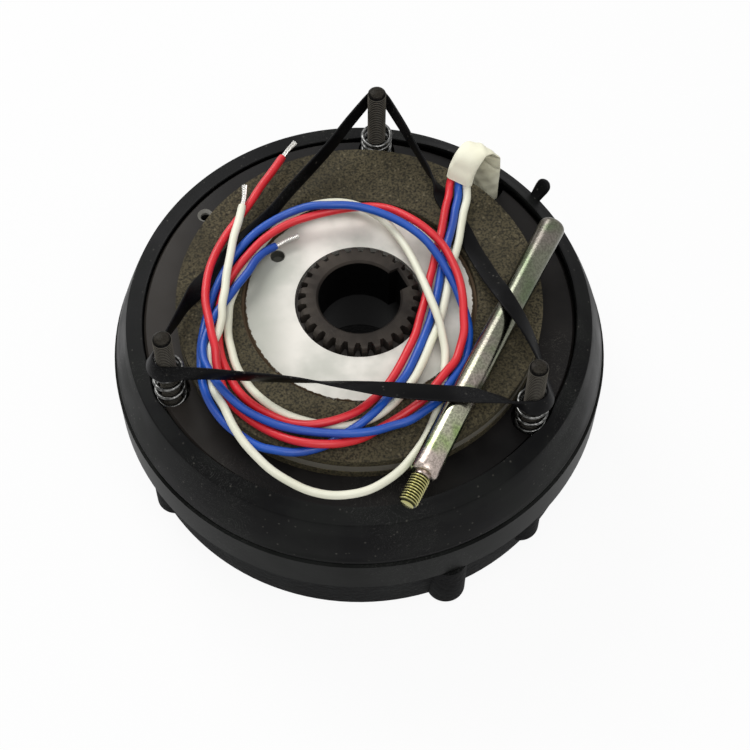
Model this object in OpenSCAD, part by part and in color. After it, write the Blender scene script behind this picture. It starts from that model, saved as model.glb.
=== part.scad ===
// Spring-applied electromagnetic brake for a motor, lying on the back of its magnet.
// The origin is on the shaft axis at the back face, and +Z points to the motor.

/* [Magnet body] */
// Height of the cast body from its back face to the pole faces
body_h = 64; // [60:1:70]
// Radius of the cast body at its back face
cast_r = 101.5; // [100:0.5:103]
// How much the cast body widens from its back face up to its rim
cast_draft = 2.5; // [0.5:0.5:3]
// Radius of the machined rim
rim_r = 107.5; // [106.5:0.5:110]
// Height of the rim's lower edge above the back face
rim_z = 32; // [28:1:36]
// Height of the machined rim
rim_h = 22; // [18:1:24]
// Radius of the passage for the motor shaft
passage_r = 22; // [20:0.5:23]
// Inner radius of the slot that holds the coil
slot_in_r = 38; // [36:0.5:40]
// Iron between the coil's slot and the circle of the brake springs
slot_edge = 14; // [12:0.5:18]
// Depth of the slot that holds the coil
slot_depth = 40; // [34:1:44]
// Radius of the round lugs cast on the side
lug_r = 8.5; // [7:0.5:9.5]
// Distance of the tall lugs from the axis
lug_pos_r = 100.5; // [99:0.5:102]
// Height of the back face of the short lugs
lug_short_z = 9; // [6:1:14]
// Depth of the recess in the back face
back_recess = 3; // [2:0.5:5]

/* [Coil] */
// Wall of the coil's moulded bobbin
bobbin_t = 1.6; // [1:0.1:2.4]
// Depth of the resin that closes the coil's slot
potting_t = 4; // [3:0.5:6]

/* [Brake springs] */
// Outside diameter of a brake spring
brake_spring_d = 9.6; // [8.6:0.1:10]
// Wire of a brake spring
brake_wire_d = 1.8; // [1.4:0.1:2]
// Depth of a brake spring's pocket in the pole
pocket_depth = 22; // [16:1:26]
// Distance of the brake springs from the plate's edge
spring_edge = 10.3; // [9.3:0.5:12.3]
// Angle from a stud to the brake spring on each side of it
spring_offset = 22; // [18:1:28]

/* [Pressure plate] */
// Air gap that the brake springs hold open
air_gap = 1; // [0.6:0.1:1.5]
// Distance from the pressure plate's edge out to the collar's lip
lip_gap = 1.9; // [1.2:0.1:2.4]
// Least distance from the pressure plate's edge out to the edge of the outer pole
pole_edge = 5.7; // [5:0.1:6.2]
// Thickness of the pressure plate
plate_t = 12; // [10:0.5:14]
// Radius of the hole in the middle of the pressure plate
plate_hole_r = 30; // [28:0.5:34]
// Depth of the counterbores that hold the counter springs
counterbore_depth = 7; // [5:0.5:8]
// Clearance hole for a stud in the plate and the magnet body
stud_hole_d = 9; // [8.8:0.1:10]
// Distance of the cable notch from the plate's edge
notch_edge = 4.8; // [3.3:0.5:6.3]
// Angle of the cable notch
notch_angle = 45; // [42:1:47]
// Radius of the cable notch
notch_r = 8; // [7:0.5:8.5]

/* [Friction disc] */
// Distance from the edge of the friction linings to the circle of the studs
lining_edge = 9.4; // [9:0.1:10.5]
// Inner radius of the friction linings
lining_in_r = 50; // [46:0.5:54]
// Thickness of one lining
lining_t = 4; // [3:0.1:4.5]
// Thickness of the aluminium carrier between the linings
web_t = 5; // [4:0.5:6]
// Depth of the carrier's middle face below the lining
face_drop = 2.3; // [1.5:0.1:2.8]
// Radius of the round recess above the carrier's teeth
mouth_r = 27.4; // [27.2:0.1:29]
// Depth of the round recess above the carrier's teeth
mouth_depth = 2.6; // [2:0.1:3.5]

/* [Hub] */
// Number of teeth
tooth_n = 28; // [24:2:32]
// Radius over the tips of the hub's teeth
tip_r = 26; // [25.6:0.1:26.2]
// Height of a tooth
tooth_h = 3.4; // [2.6:0.1:3.8]
// Radius of the bore for the shaft
bore_r = 17.5; // [15:0.5:18]
// Width of the keyway
key_w = 10; // [8:1:12]
// Distance from the axis to the floor of the keyway
key_floor_r = 20.8; // [20:0.1:21.2]
// Height of the hub's front face above the friction disc
hub_proud = 1.2; // [0.5:0.1:3]
// Direction of the keyway
key_angle = 23; // [0:1:60]
// Clearance between the hub's teeth and the carrier's teeth
spline_gap = 0.3; // [0.25:0.05:0.4]

/* [Studs] */
// Diameter of a stud's threaded end
stud_d = 8; // [7:0.5:8.2]
// Distance of the studs from the plate's edge
stud_edge = 5.3; // [4.8:0.1:5.8]
// Angle of the first stud
stud_angle = 80; // [78:1:82]
// Height of a stud above the friction disc
stud_proud = 29; // [26:1:34]
// Chamfer at the end of a stud
stud_chamfer = 1.2; // [0.5:0.1:1.6]
// Length of the end that stays free above the rubber band
stud_free_l = 5.6; // [4:0.2:6]
// How much slimmer the rest of a stud is
shank_step = 0.8; // [0.6:0.1:1.2]
// Width across the flats of a nut
nut_af = 13; // [12:0.5:14]
// Height of a nut
nut_h = 6.5; // [5:0.1:7]
// Outside diameter of a washer
washer_d = 16; // [14:0.5:17]
// Thickness of a washer
washer_t = 1.6; // [1:0.1:2]
// Outside diameter of a counter spring
counter_spring_d = 14; // [13:0.1:14.6]
// Wire of a counter spring
counter_wire_d = 1.7; // [1.2:0.1:1.9]
// Height of each of the three loose counter springs above the friction disc
counter_proud = [0, 7, 3]; // [0:0.5:8]
// Turns of a counter spring
counter_turns = 5; // [4:1:6]

/* [Rubber collar] */
// Radius of the collar's top edge
collar_top_r = 100; // [99:0.5:101]
// Radius of the collar at its foot
collar_foot_r = 106.3; // [105:0.1:106.4]
// Width of the sloping lip, from its inner edge out to the top edge
lip_w = 5.8; // [5:0.1:6.4]
// Width of the foot, from the outer pole to the foot's edge
foot_w = 8.3; // [7.5:0.1:8.8]
// Height of the lip's inner edge above the pressure plate
lip_proud = 4; // [2:0.5:6]
// Thickness of the lip
lip_t = 3; // [2:0.5:4]
// Angle of the pull tab
tab_angle = 33; // [30:1:38]
// Length of the pull tab
tab_l = 11; // [8:0.5:14]
// Width of the pull tab
tab_w = 7; // [5:0.5:9]
// Thickness of the pull tab
tab_t = 2.5; // [1.5:0.5:3]
// Angle at which the pull tab rises
tab_rise = 50; // [30:5:60]

/* [Rubber band] */
// Width of the band
band_w = 7.5; // [7:0.5:9]
// Thickness of the band
band_t = 1; // [0.8:0.1:1.4]

/* [Hand lever] */
// Diameter of the rod
lever_d = 11.5; // [10:0.5:12]
// Length of the rod without its thread
lever_l = 133; // [120:1:140]
// Diameter of the threaded end
thread_d = 8; // [6:0.5:9]
// Length of the threaded end
thread_l = 15; // [12:1:18]

/* [Leads] */
// Diameter of a lead
lead_d = 3.5; // [3:0.1:3.6]
// Diameter of the bare strands at a lead's end
strand_d = 2; // [1.6:0.1:2.2]
// Width of the flattened sleeve
sleeve_w = 12; // [11.5:0.5:12.5]
// Thickness of the flattened sleeve
sleeve_t = 4.6; // [4.4:0.1:5]

/* [Hidden] */
$fn = 96;
EPS = 0.01;

// Radii, from the collar inwards: the plate fits inside both the collar's lip and the outer pole,
// and the studs, springs, lining and coil keep their distances from its edge
pole_r = collar_foot_r - foot_w;
lip_r = collar_top_r - lip_w;
plate_r = min(lip_r - lip_gap, pole_r - pole_edge);
stud_pos_r = plate_r - stud_edge;
spring_pos_r = plate_r - spring_edge;
notch_pos_r = plate_r - notch_edge;
lining_r = stud_pos_r - lining_edge;
slot_out_r = spring_pos_r - slot_edge;

// Heights, from the back face up to the end of a stud
rim_top_z = rim_z + rim_h;
plate_z = body_h + air_gap;
plate_top_z = plate_z + plate_t;
seat_gap = 0.3;
disc_z = plate_top_z + seat_gap;
disc_t = 2 * lining_t + web_t;
disc_top_z = disc_z + disc_t;
web_z = disc_z + lining_t;
core_z = disc_z + face_drop;
core_t = disc_t - 2 * face_drop;
core_top_z = core_z + core_t;
hub_z = body_h + seat_gap;
hub_top_z = disc_top_z + hub_proud;
stud_top_z = disc_top_z + stud_proud;
shank_d = stud_d - shank_step;
stud_angles = [for (i = [0:2]) stud_angle + 120 * i];
spring_angles = [for (a = stud_angles, s = [-1, 1]) a + s * spring_offset];

// The nut's pocket in the back face, deep enough for the nut, its washer and the stud's end
nut_fit = 1.5;
pocket_d = washer_d + nut_fit;
nut_cover = 2;
pocket_h = nut_cover + nut_h + washer_t;
stud_reach = 1;
stud_z = nut_cover - stud_reach;
counterbore_fit = 2.5;
counterbore_d = counter_spring_d + counterbore_fit;
rim_chamfer = 1;

// A ring about the axis: inner radius, outer radius, lower height and thickness
module ring(ri, ro, z, t) {
    rotate_extrude() translate([ri, z]) square([ro - ri, t]);
}

// Copies of what follows on a circle about the axis
module at(r, a) {
    rotate(a) translate([r, 0, 0]) children();
}

// Cast body

tall_lugs = [stud_angle + 207, stud_angle + 27];
short_lugs = [stud_angle + 231, stud_angle + 129];
short_lug_step = 2.5;
cable_hole_r = 6.5;
release_hole_d = 5;
release_hole_l = 14;
spring_fit = 1;
back_in_r = 30;
back_out_r = 72.5;

module cast_outline() {
    back_round = 2;
    rotate_extrude() polygon([
        [0, 0], [cast_r - back_round, 0], [cast_r, back_round], [cast_r + cast_draft, rim_z],
        [rim_r - rim_chamfer, rim_z], [rim_r, rim_z + rim_chamfer], [rim_r, rim_top_z - rim_chamfer],
        [rim_r - rim_chamfer, rim_top_z], [pole_r, rim_top_z], [pole_r, body_h - rim_chamfer],
        [pole_r - rim_chamfer, body_h], [0, body_h]]);
}

// A round lug with a dished end, running up into the rim
module lug(z) {
    round_h = 3;
    rotate_extrude() polygon([[0, z], [lug_r - round_h, z], [lug_r - 1, z + 1], [lug_r, z + round_h],
        [lug_r, rim_z + EPS], [0, rim_z + EPS]]);
}

module magnet_body() color([0.09, 0.09, 0.095]) difference() {
    union() {
        cast_outline();
        for (a = tall_lugs) at(lug_pos_r, a) lug(0);
        for (a = short_lugs) at(lug_pos_r - short_lug_step, a) lug(lug_short_z);
    }
    translate([0, 0, -EPS]) cylinder(r = passage_r, h = body_h + 2 * EPS);
    ring(slot_in_r, slot_out_r, body_h - slot_depth, slot_depth + EPS);
    ring(back_in_r, back_out_r, -EPS, back_recess + EPS);
    for (a = stud_angles) at(stud_pos_r, a) {
        translate([0, 0, -EPS]) cylinder(d = stud_hole_d, h = body_h + 2 * EPS);
        translate([0, 0, -EPS]) cylinder(d = pocket_d, h = pocket_h + EPS);
    }
    for (a = spring_angles) at(spring_pos_r, a)
        translate([0, 0, body_h - pocket_depth]) cylinder(d = brake_spring_d + spring_fit, h = pocket_depth + EPS);
    for (a = tall_lugs) at(lug_pos_r, a)
        translate([0, 0, -EPS]) cylinder(d = release_hole_d, h = release_hole_l + EPS);
    at(notch_pos_r, notch_angle) translate([0, 0, body_h - pocket_depth])
        cylinder(r = cable_hole_r, h = pocket_depth + EPS);
}

// Coil, in three rings that fill its slot

coil_fit = 0.2;
slot_z = body_h - slot_depth;
bobbin_h = slot_depth - potting_t - 2 * coil_fit;

module coil_bobbin() color([0.85, 0.83, 0.76]) {
    ri = slot_in_r + coil_fit;
    ro = slot_out_r - coil_fit;
    z = slot_z + coil_fit;
    rotate_extrude() polygon([
        [ri, z], [ro, z], [ro, z + bobbin_t], [ri + bobbin_t, z + bobbin_t],
        [ri + bobbin_t, z + bobbin_h - bobbin_t], [ro, z + bobbin_h - bobbin_t], [ro, z + bobbin_h],
        [ri, z + bobbin_h]]);
}

module coil_winding() color([0.72, 0.42, 0.2])
    ring(slot_in_r + bobbin_t + 2 * coil_fit, slot_out_r - 3 * coil_fit,
        slot_z + bobbin_t + 2 * coil_fit, bobbin_h - 2 * bobbin_t - 2 * coil_fit);

module coil_potting() color([0.16, 0.15, 0.14])
    ring(slot_in_r + coil_fit, slot_out_r - coil_fit, body_h - potting_t, potting_t - coil_fit);

// A round-wire spring on the axis: its outside diameter, wire, two end heights and number of turns.
// Its first and last turns close up, and the wire's centre is kept half a wire inside both heights.
module coil_spring(d, wire, z0, z1, turns, steps = 18, sides = 6) {
    r = (d - wire) / 2;
    free = z1 - z0 - 3 * wire;
    function height(t) = t < 1 ? wire * t : t > turns - 1 ? z1 - z0 - wire - wire * (turns - t)
        : wire + free * (t - 1) / (turns - 2);
    skin([for (i = [0:turns * steps]) let (t = i / steps, a = 360 * t)
        [for (j = [0:sides - 1]) let (b = 360 * j / sides, q = r + cos(b) * wire / 2)
            [q * cos(a), q * sin(a), z0 + wire / 2 + height(t) + sin(b) * wire / 2]]]);
}

// A solid through a row of rings with as many points each, closed at both ends or joined into a loop
module skin(rings, loop = false) {
    n = len(rings);
    sides = len(rings[0]);
    walls = [for (i = [0:n - (loop ? 1 : 2)], j = [0:sides - 1])
        let (k = (j + 1) % sides, m = (i + 1) % n)
        each [[i * sides + j, m * sides + j, m * sides + k], [i * sides + j, m * sides + k, i * sides + k]]];
    ends = [[for (j = [0:sides - 1]) j], [for (j = [sides - 1:-1:0]) (n - 1) * sides + j]];
    polyhedron(points = [for (r = rings) each r], faces = loop ? walls : concat(ends, walls));
}

module brake_springs() color([0.7, 0.7, 0.68])
    for (a = spring_angles) at(spring_pos_r, a)
        coil_spring(brake_spring_d, brake_wire_d, body_h - pocket_depth + EPS, plate_z - EPS, 6, 12);

// Pressure plate

jack_r = plate_r - 6.8;
jack_angle = stud_angle + 58;
jack_d = 4.2;
jack_sink_d = 6.6;
jack_sink = 1.2;
plate_edge = 1;

module pressure_plate() color([0.2, 0.2, 0.21]) difference() {
    rotate_extrude() polygon([
        [plate_hole_r, plate_z], [plate_r - plate_edge, plate_z], [plate_r, plate_z + plate_edge],
        [plate_r, plate_top_z - plate_edge], [plate_r - plate_edge, plate_top_z],
        [plate_hole_r, plate_top_z]]);
    for (a = stud_angles) at(stud_pos_r, a) {
        translate([0, 0, plate_z - EPS]) cylinder(d = stud_hole_d, h = plate_t + 2 * EPS);
        translate([0, 0, plate_top_z - counterbore_depth]) cylinder(d = counterbore_d, h = plate_t);
    }
    at(notch_pos_r, notch_angle) translate([0, 0, plate_z - EPS]) cylinder(r = notch_r, h = plate_t + 2 * EPS);
    for (i = [0:1]) at(jack_r, jack_angle + 180 * i) translate([0, 0, plate_z - EPS]) {
        cylinder(d = jack_d, h = plate_t + 2 * EPS);
        translate([0, 0, plate_t - jack_sink])
            cylinder(d1 = jack_d, d2 = jack_sink_d, h = jack_sink + 2 * EPS);
    }
}

// Teeth of the spline, as a closed outline between a root circle and a tip circle.
// The width is the share of the pitch that a tooth takes at its root and at its tip.
function teeth(n, root, tip, root_share, tip_share) = [for (i = [0:n - 1], s = [-1, 1], e = [0, 1])
    let (p = 360 / n, flip = s < 0 ? e : 1 - e, r = flip == 0 ? root : tip,
        share = flip == 0 ? root_share : tip_share, a = i * p + s * share * p / 2)
    [r * cos(a), r * sin(a)]];

root_r = tip_r - tooth_h;
root_share = 0.68;
tip_share = 0.34;
gap_share = 2 * spline_gap / (2 * PI * tip_r / tooth_n);
dimple_r = 42;
dimple_d = 5.6;
dimple_depth = 5;
dimple_sink_d = 6.8;
dimple_sink = 0.6;
lining_step = 0.3;
face_edge = 1;

module disc_carrier() color([0.86, 0.86, 0.85]) difference() {
    rotate_extrude() polygon([
        [0, core_z], [lining_in_r - 2 * face_edge, core_z], [lining_in_r - face_edge, web_z],
        [lining_r - lining_step, web_z],
        [lining_r - lining_step, web_z + web_t], [lining_in_r - face_edge, web_z + web_t],
        [lining_in_r - 2 * face_edge, core_top_z], [0, core_top_z]]);
    translate([0, 0, core_z - EPS]) linear_extrude(core_t + 2 * EPS)
        polygon(teeth(tooth_n, root_r + spline_gap, tip_r + spline_gap,
            root_share + gap_share, tip_share + gap_share));
    translate([0, 0, core_top_z - mouth_depth]) cylinder(r = mouth_r, h = mouth_depth + EPS);
    at(dimple_r, stud_angle + 62) translate([0, 0, core_top_z - dimple_depth]) {
        cylinder(d = dimple_d, h = dimple_depth + EPS);
        translate([0, 0, dimple_depth - dimple_sink])
            cylinder(d1 = dimple_d, d2 = dimple_sink_d, h = dimple_sink + EPS);
    }
}

module lining_top() color([0.33, 0.31, 0.28])
    ring(lining_in_r, lining_r, web_z + web_t, lining_t);

module lining_bottom() color([0.33, 0.31, 0.28])
    ring(lining_in_r, lining_r, disc_z, lining_t);

module hub() color([0.27, 0.26, 0.25]) {
    flat_r = tip_r - 2;
    slope_h = 2.2;
    difference() {
        intersection() {
            translate([0, 0, hub_z]) linear_extrude(hub_top_z - hub_z)
                polygon(teeth(tooth_n, root_r, tip_r, root_share, tip_share));
            rotate_extrude() polygon([[0, hub_z], [flat_r, hub_z], [tip_r + EPS, hub_z + slope_h],
                [tip_r + EPS, hub_top_z - slope_h], [flat_r, hub_top_z], [0, hub_top_z]]);
        }
        translate([0, 0, hub_z - EPS]) cylinder(r = bore_r, h = hub_top_z - hub_z + 2 * EPS);
        rotate(key_angle) translate([0, -key_w / 2, hub_z - EPS])
            cube([key_floor_r, key_w, hub_top_z - hub_z + 2 * EPS]);
    }
}

// Studs, with their nuts and washers in the back and the counter springs on the plate

module stud(i) color([0.12, 0.12, 0.12]) at(stud_pos_r, stud_angles[i]) {
    shank_r = shank_d / 2;
    end_z = stud_top_z - stud_free_l;
    rotate_extrude() polygon([
        [0, stud_z], [shank_r - stud_chamfer, stud_z], [shank_r, stud_z + stud_chamfer],
        [shank_r, end_z - shank_step / 2], [stud_d / 2, end_z],
        [stud_d / 2, stud_top_z - stud_chamfer], [stud_d / 2 - stud_chamfer, stud_top_z], [0, stud_top_z]]);
}

thread_gap = 0.05;
washer_fit = 0.2;
nut_bevel = 0.8;
nut_reach = 1.2;

module nut(i) color([0.35, 0.35, 0.34]) at(stud_pos_r, stud_angles[i]) difference() {
    translate([0, 0, nut_cover]) intersection() {
        cylinder(d = nut_af / cos(30), h = nut_h, $fn = 6);
        rotate_extrude() polygon([[0, 0], [nut_af / 2, 0], [nut_af / 2 + nut_reach, nut_bevel],
            [nut_af / 2 + nut_reach, nut_h], [0, nut_h]]);
    }
    translate([0, 0, nut_cover - EPS]) cylinder(d = shank_d + 2 * thread_gap, h = nut_h + 2 * EPS);
}

module washer(i) color([0.5, 0.5, 0.48]) at(stud_pos_r, stud_angles[i])
    ring(stud_d / 2 + washer_fit, washer_d / 2, nut_cover + nut_h, washer_t);

module counter_spring(i) color([0.75, 0.75, 0.73]) at(stud_pos_r, stud_angles[i])
    rotate(60 * i) coil_spring(counter_spring_d, counter_wire_d, plate_top_z - counterbore_depth + seat_gap,
        disc_top_z + counter_proud[i], counter_turns, 18, 8);

module stud_a() stud(0);
module stud_b() stud(1);
module stud_c() stud(2);
module nut_a() nut(0);
module nut_b() nut(1);
module nut_c() nut(2);
module washer_a() washer(0);
module washer_b() washer(1);
module washer_c() washer(2);
module counter_spring_a() counter_spring(0);
module counter_spring_b() counter_spring(1);
module counter_spring_c() counter_spring(2);

// Rubber collar, a flared sleeve with a sloping lip over the plate's edge

collar_grip = 0.2;
collar_t = 2.4;
collar_seat_z = rim_top_z + seat_gap;
lip_top_z = plate_top_z + lip_proud;
lip_drop = 4;
crest_z = lip_top_z - lip_drop;
foot_edge = 1.2;
tab_root = 1.5;

module rubber_collar() color([0.07, 0.07, 0.075]) {
    flare = (collar_foot_r - collar_top_r) / (crest_z - collar_seat_z);
    bulge = 0.6;
    crest_edge = 0.7;
    mid_z = (crest_z + collar_seat_z) / 2;
    mid_r = collar_top_r + flare * (crest_z - mid_z) + bulge;
    rotate_extrude() polygon([
        [lip_r, lip_top_z - crest_edge], [lip_r + crest_edge, lip_top_z],
        [collar_top_r - crest_edge, crest_z], [collar_top_r, crest_z - crest_edge], [mid_r, mid_z],
        [collar_foot_r, collar_seat_z + foot_edge], [collar_foot_r - foot_edge / 2, collar_seat_z],
        [pole_r + collar_grip, collar_seat_z], [pole_r + collar_grip, body_h],
        [lip_r + collar_t, crest_z - lip_drop], [lip_r, lip_top_z - lip_t]]);
    rotate(tab_angle) translate([collar_top_r - tab_root, 0, crest_z - tab_root]) rotate([0, -tab_rise, 0]) {
        translate([0, -tab_w / 2, 0]) cube([tab_l - tab_w / 2, tab_w, tab_t]);
        translate([tab_l - tab_w / 2, 0, 0]) cylinder(d = tab_w, h = tab_t);
    }
}

// Hand lever, lying across the friction disc

lever_tip = [86, 26.5];
lever_dir = -120.9;
lever_z = disc_top_z + lever_d / 2 + seat_gap;

tip_round = 2.6;
shoulder_bevel = 0.8;
neck_l = 1.4;
neck_d = thread_d - 1.4;

module hand_lever() color([0.8, 0.79, 0.68])
    translate([lever_tip[0], lever_tip[1], lever_z]) rotate(lever_dir) rotate([0, 90, 0])
        rotate_extrude() polygon(concat(
            [for (a = [90:-15:0]) [lever_d / 2 - tip_round * (1 - cos(a)), tip_round * (1 - sin(a))]],
            [[lever_d / 2, lever_l - shoulder_bevel], [lever_d / 2 - shoulder_bevel, lever_l],
            [neck_d / 2, lever_l], [neck_d / 2, lever_l + neck_l],
            [thread_d / 2, lever_l + neck_l + (thread_d - neck_d) / 2],
            [thread_d / 2, lever_l + thread_l - stud_chamfer],
            [thread_d / 2 - stud_chamfer, lever_l + thread_l], [0, lever_l + thread_l], [0, 0]]));

// Directions at each point of a route: along it, level to its right, and up from it
function unit(v) = v / norm(v);
function along(p, i) = unit(p[min(i + 1, len(p) - 1)] - p[max(i - 1, 0)]);
function right(t) = unit(cross(t, [0, 0, 1]));

// The friction disc's face, from which the heights of the band and the leads are counted
disc_face = [0, 0, disc_top_z];

// A round tube along a route, with eight sides
module tube(route, d) {
    skin([for (i = [0:len(route) - 1]) let (t = along(route, i), e = right(t), f = cross(e, t))
        [for (b = [22.5:45:360]) disc_face + route[i] + (cos(b) * e + sin(b) * f) * d / 2]]);
}

// Rubber band, one flat loop round the three studs. Each point has a place, a height above the
// friction disc and the band's lean: at 0 it stands on its edge, and at 90 it lies flat.

band_gap = 0.4;
band_lean = 25;
band_top = 18.5;
top_lean = -8;
band_left = [[0, 81.5, 15.5, -12], [-8, 73, 12.5, -12], [-17, 63.5, 9, -12], [-26, 54, 6, -12],
    [-35, 45.5, 4.2, -15], [-43, 37.5, 3.6, -35], [-51, 30, 2, -70], [-59, 21.5, 0.9, -90],
    [-66.5, 12, 1.7, -75], [-72.5, 1.5, 4.2, -20], [-77.5, -8.5, 6.4, -5], [-82.5, -18, 9, 10]];
band_front = [[-74, -37, 12, 15], [-64, -38.5, 12.6, 5], [-50, -41, 13, -3], [-30, -44.5, 13.2, -15],
    [-10, -48.5, 13, -50], [10, -52.5, 12.8, -85], [24, -55, 12.9, -90], [34, -56.5, 12.9, -90],
    [40, -57.5, 12.9, -85], [47, -59, 12.4, -62], [56, -60.5, 10.5, -35]];
band_right = [[70.5, -43, 9.5, 25], [67.5, -32, 12, 45], [64, -23, 13.4, 62], [61, -16, 13.4, 78],
    [58, -8.5, 12.4, 90], [55.5, 0, 8.5, 90], [53, 9.5, 5, 90], [50.5, 19, 2.2, 82],
    [48, 28, 0.9, 88], [45.5, 35.5, 0.9, 90], [42.5, 43, 1, 90], [41, 46.5, 1.2, 88],
    [39.6, 49.8, 2, 70], [38, 53.5, 4, 28], [35.5, 59.5, 5, 5], [31, 68.5, 8.5, 2], [26, 77.5, 13.5, -6]];

// The part of the band round stud i, between two angles about the stud
function band_wrap(i, a0, a1, z, lean) = [for (a = [a0:(a1 - a0) / 5:a1 + 1])
    let (r = stud_d / 2 + band_gap + band_t / 2 + band_w / 2 * abs(sin(lean)), s = stud_angles[i])
    [stud_pos_r * cos(s) + r * cos(a), stud_pos_r * sin(s) + r * sin(a), z, lean]];
function resting_on(i) = counter_proud[i] + seat_gap + band_w / 2 * cos(band_lean);

module rubber_band() color([0.06, 0.06, 0.06]) {
    route = concat(band_wrap(0, 32, 124, band_top, top_lean), band_left,
        band_wrap(1, 155, 260, resting_on(1), band_lean), band_front,
        band_wrap(2, 260, 376, resting_on(2), band_lean), band_right);
    n = len(route);
    place = [for (p = route) [p[0], p[1], p[2]]];
    skin([for (i = [0:n - 1])
        let (t = unit(place[(i + 1) % n] - place[(i + n - 1) % n]), e = right(t), f = cross(e, t), a = route[i][3],
            w = (cos(a) * f - sin(a) * e) * band_w / 2, h = (cos(a) * e + sin(a) * f) * band_t / 2,
            c = disc_face + place[i])
        [c + h - w, c + h + w, c - h + w, c - h - w]], loop = true);
}

// Cable outlet: a grommet in the magnet body, a flattened sleeve and three leads that leave its mouth

grommet_h = 12;
grommet_fit = 0.1;

module cable_grommet() color([0.1, 0.1, 0.1])
    at(notch_pos_r, notch_angle) translate([0, 0, body_h - grommet_h])
        cylinder(r = cable_hole_r - grommet_fit, h = grommet_h);

sleeve_turn = -33;
sleeve_base = [notch_pos_r * cos(notch_angle), notch_pos_r * sin(notch_angle), body_h - disc_top_z];
sleeve_route = concat([sleeve_base], [[62, 62, -13], [62, 62, 0], [61.5, 61.5, 10], [59, 60.5, 16.5],
    [55.5, 58.5, 19.5], [52, 55.5, 18], [49.5, 53.5, 13], [48, 51.5, 7.5]]);

module cable_sleeve() color([0.86, 0.84, 0.76])
    skin([for (i = [0:len(sleeve_route) - 1])
        let (t = i == 0 ? [0, 0, 1] : along(sleeve_route, i), u = [cos(sleeve_turn), sin(sleeve_turn), 0],
            e = unit(u - (u * t) * t), f = cross(e, t))
        [for (b = [15:30:360]) disc_face + sleeve_route[i]
            + (sign(cos(b)) * (sleeve_w - sleeve_t) / 2 + cos(b) * sleeve_t / 2) * e
            + sin(b) * sleeve_t / 2 * f]]);

// Each lead's route: places, and heights of its centre above the friction disc

red_route = [
    [45, 53.5, 7.5], [44, 51.5, 5], [43, 46.5, 3.8], [41, 40.5, 3.8], [39, 32.5, 4.6], [37, 25, 5.6],
    [34.5, 18, 4.8], [32.5, 11.5, 3], [30, 4.5, 2], [27.5, -4, 2], [24.5, -12.5, 2], [21.5, -21, 2],
    [17, -29.5, 2], [12, -38, 2], [6.5, -45.5, 2.2], [0.5, -51.5, 3.4], [-5.5, -56.5, 5],
    [-12, -59.5, 5.7], [-19, -61, 5.7], [-26.5, -61, 5], [-34, -58.5, 3.6], [-41.5, -53.5, 2.4],
    [-48.5, -47.5, 2], [-53.5, -41, 2], [-56.5, -34, 2], [-59, -26.5, 2], [-60, -19, 2],
    [-60, -11.5, 2], [-59.5, -4, 2], [-58, 3, 2.2], [-55.5, 9.5, 3.2], [-52, 14.5, 4.6],
    [-46.5, 21, 5.7], [-38.5, 29.5, 5.7], [-28.5, 36, 5.7], [-18, 39.5, 5.7], [-8, 41.5, 5.7],
    [1, 42.5, 5.7], [10.5, 42, 6], [18, 38.5, 7.4], [26, 31.5, 9.2], [32, 25, 9.4], [37, 17.5, 9.4],
    [40, 9, 9.6], [42, 0, 9.6], [42.5, -9, 9.4], [42, -17, 8], [41.5, -23.5, 6.2], [39.5, -29.5, 4.8],
    [36.5, -36.5, 4.8], [32, -42, 5.9], [27, -48, 6.2], [22, -53.5, 5.7], [15.5, -57.5, 4.2],
    [9.5, -60.5, 2.8], [2.5, -64, 2.2], [-4, -67.5, 2.6], [-11, -70, 4.4], [-18, -71, 5.8],
    [-25.5, -70, 5.8], [-32.5, -67.5, 4.8], [-39, -63.5, 3.2], [-45.5, -58.5, 2.2], [-51.5, -53, 2],
    [-56, -47.5, 2], [-59, -41, 2.2], [-60.5, -35, 3.4], [-61.5, -29.5, 5.6], [-61.5, -24, 8.2],
    [-62.5, -18, 9.2], [-63.5, -10, 9], [-64.5, -0.5, 7], [-64, 8, 5.8], [-62, 17, 5.8],
    [-58.5, 25.5, 5.8], [-54, 33.5, 5.6], [-48.5, 41.5, 5.2], [-43, 49.5, 5], [-38, 57.5, 5],
    [-33, 64.5, 5], [-27.5, 72.5, 5]];
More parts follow.
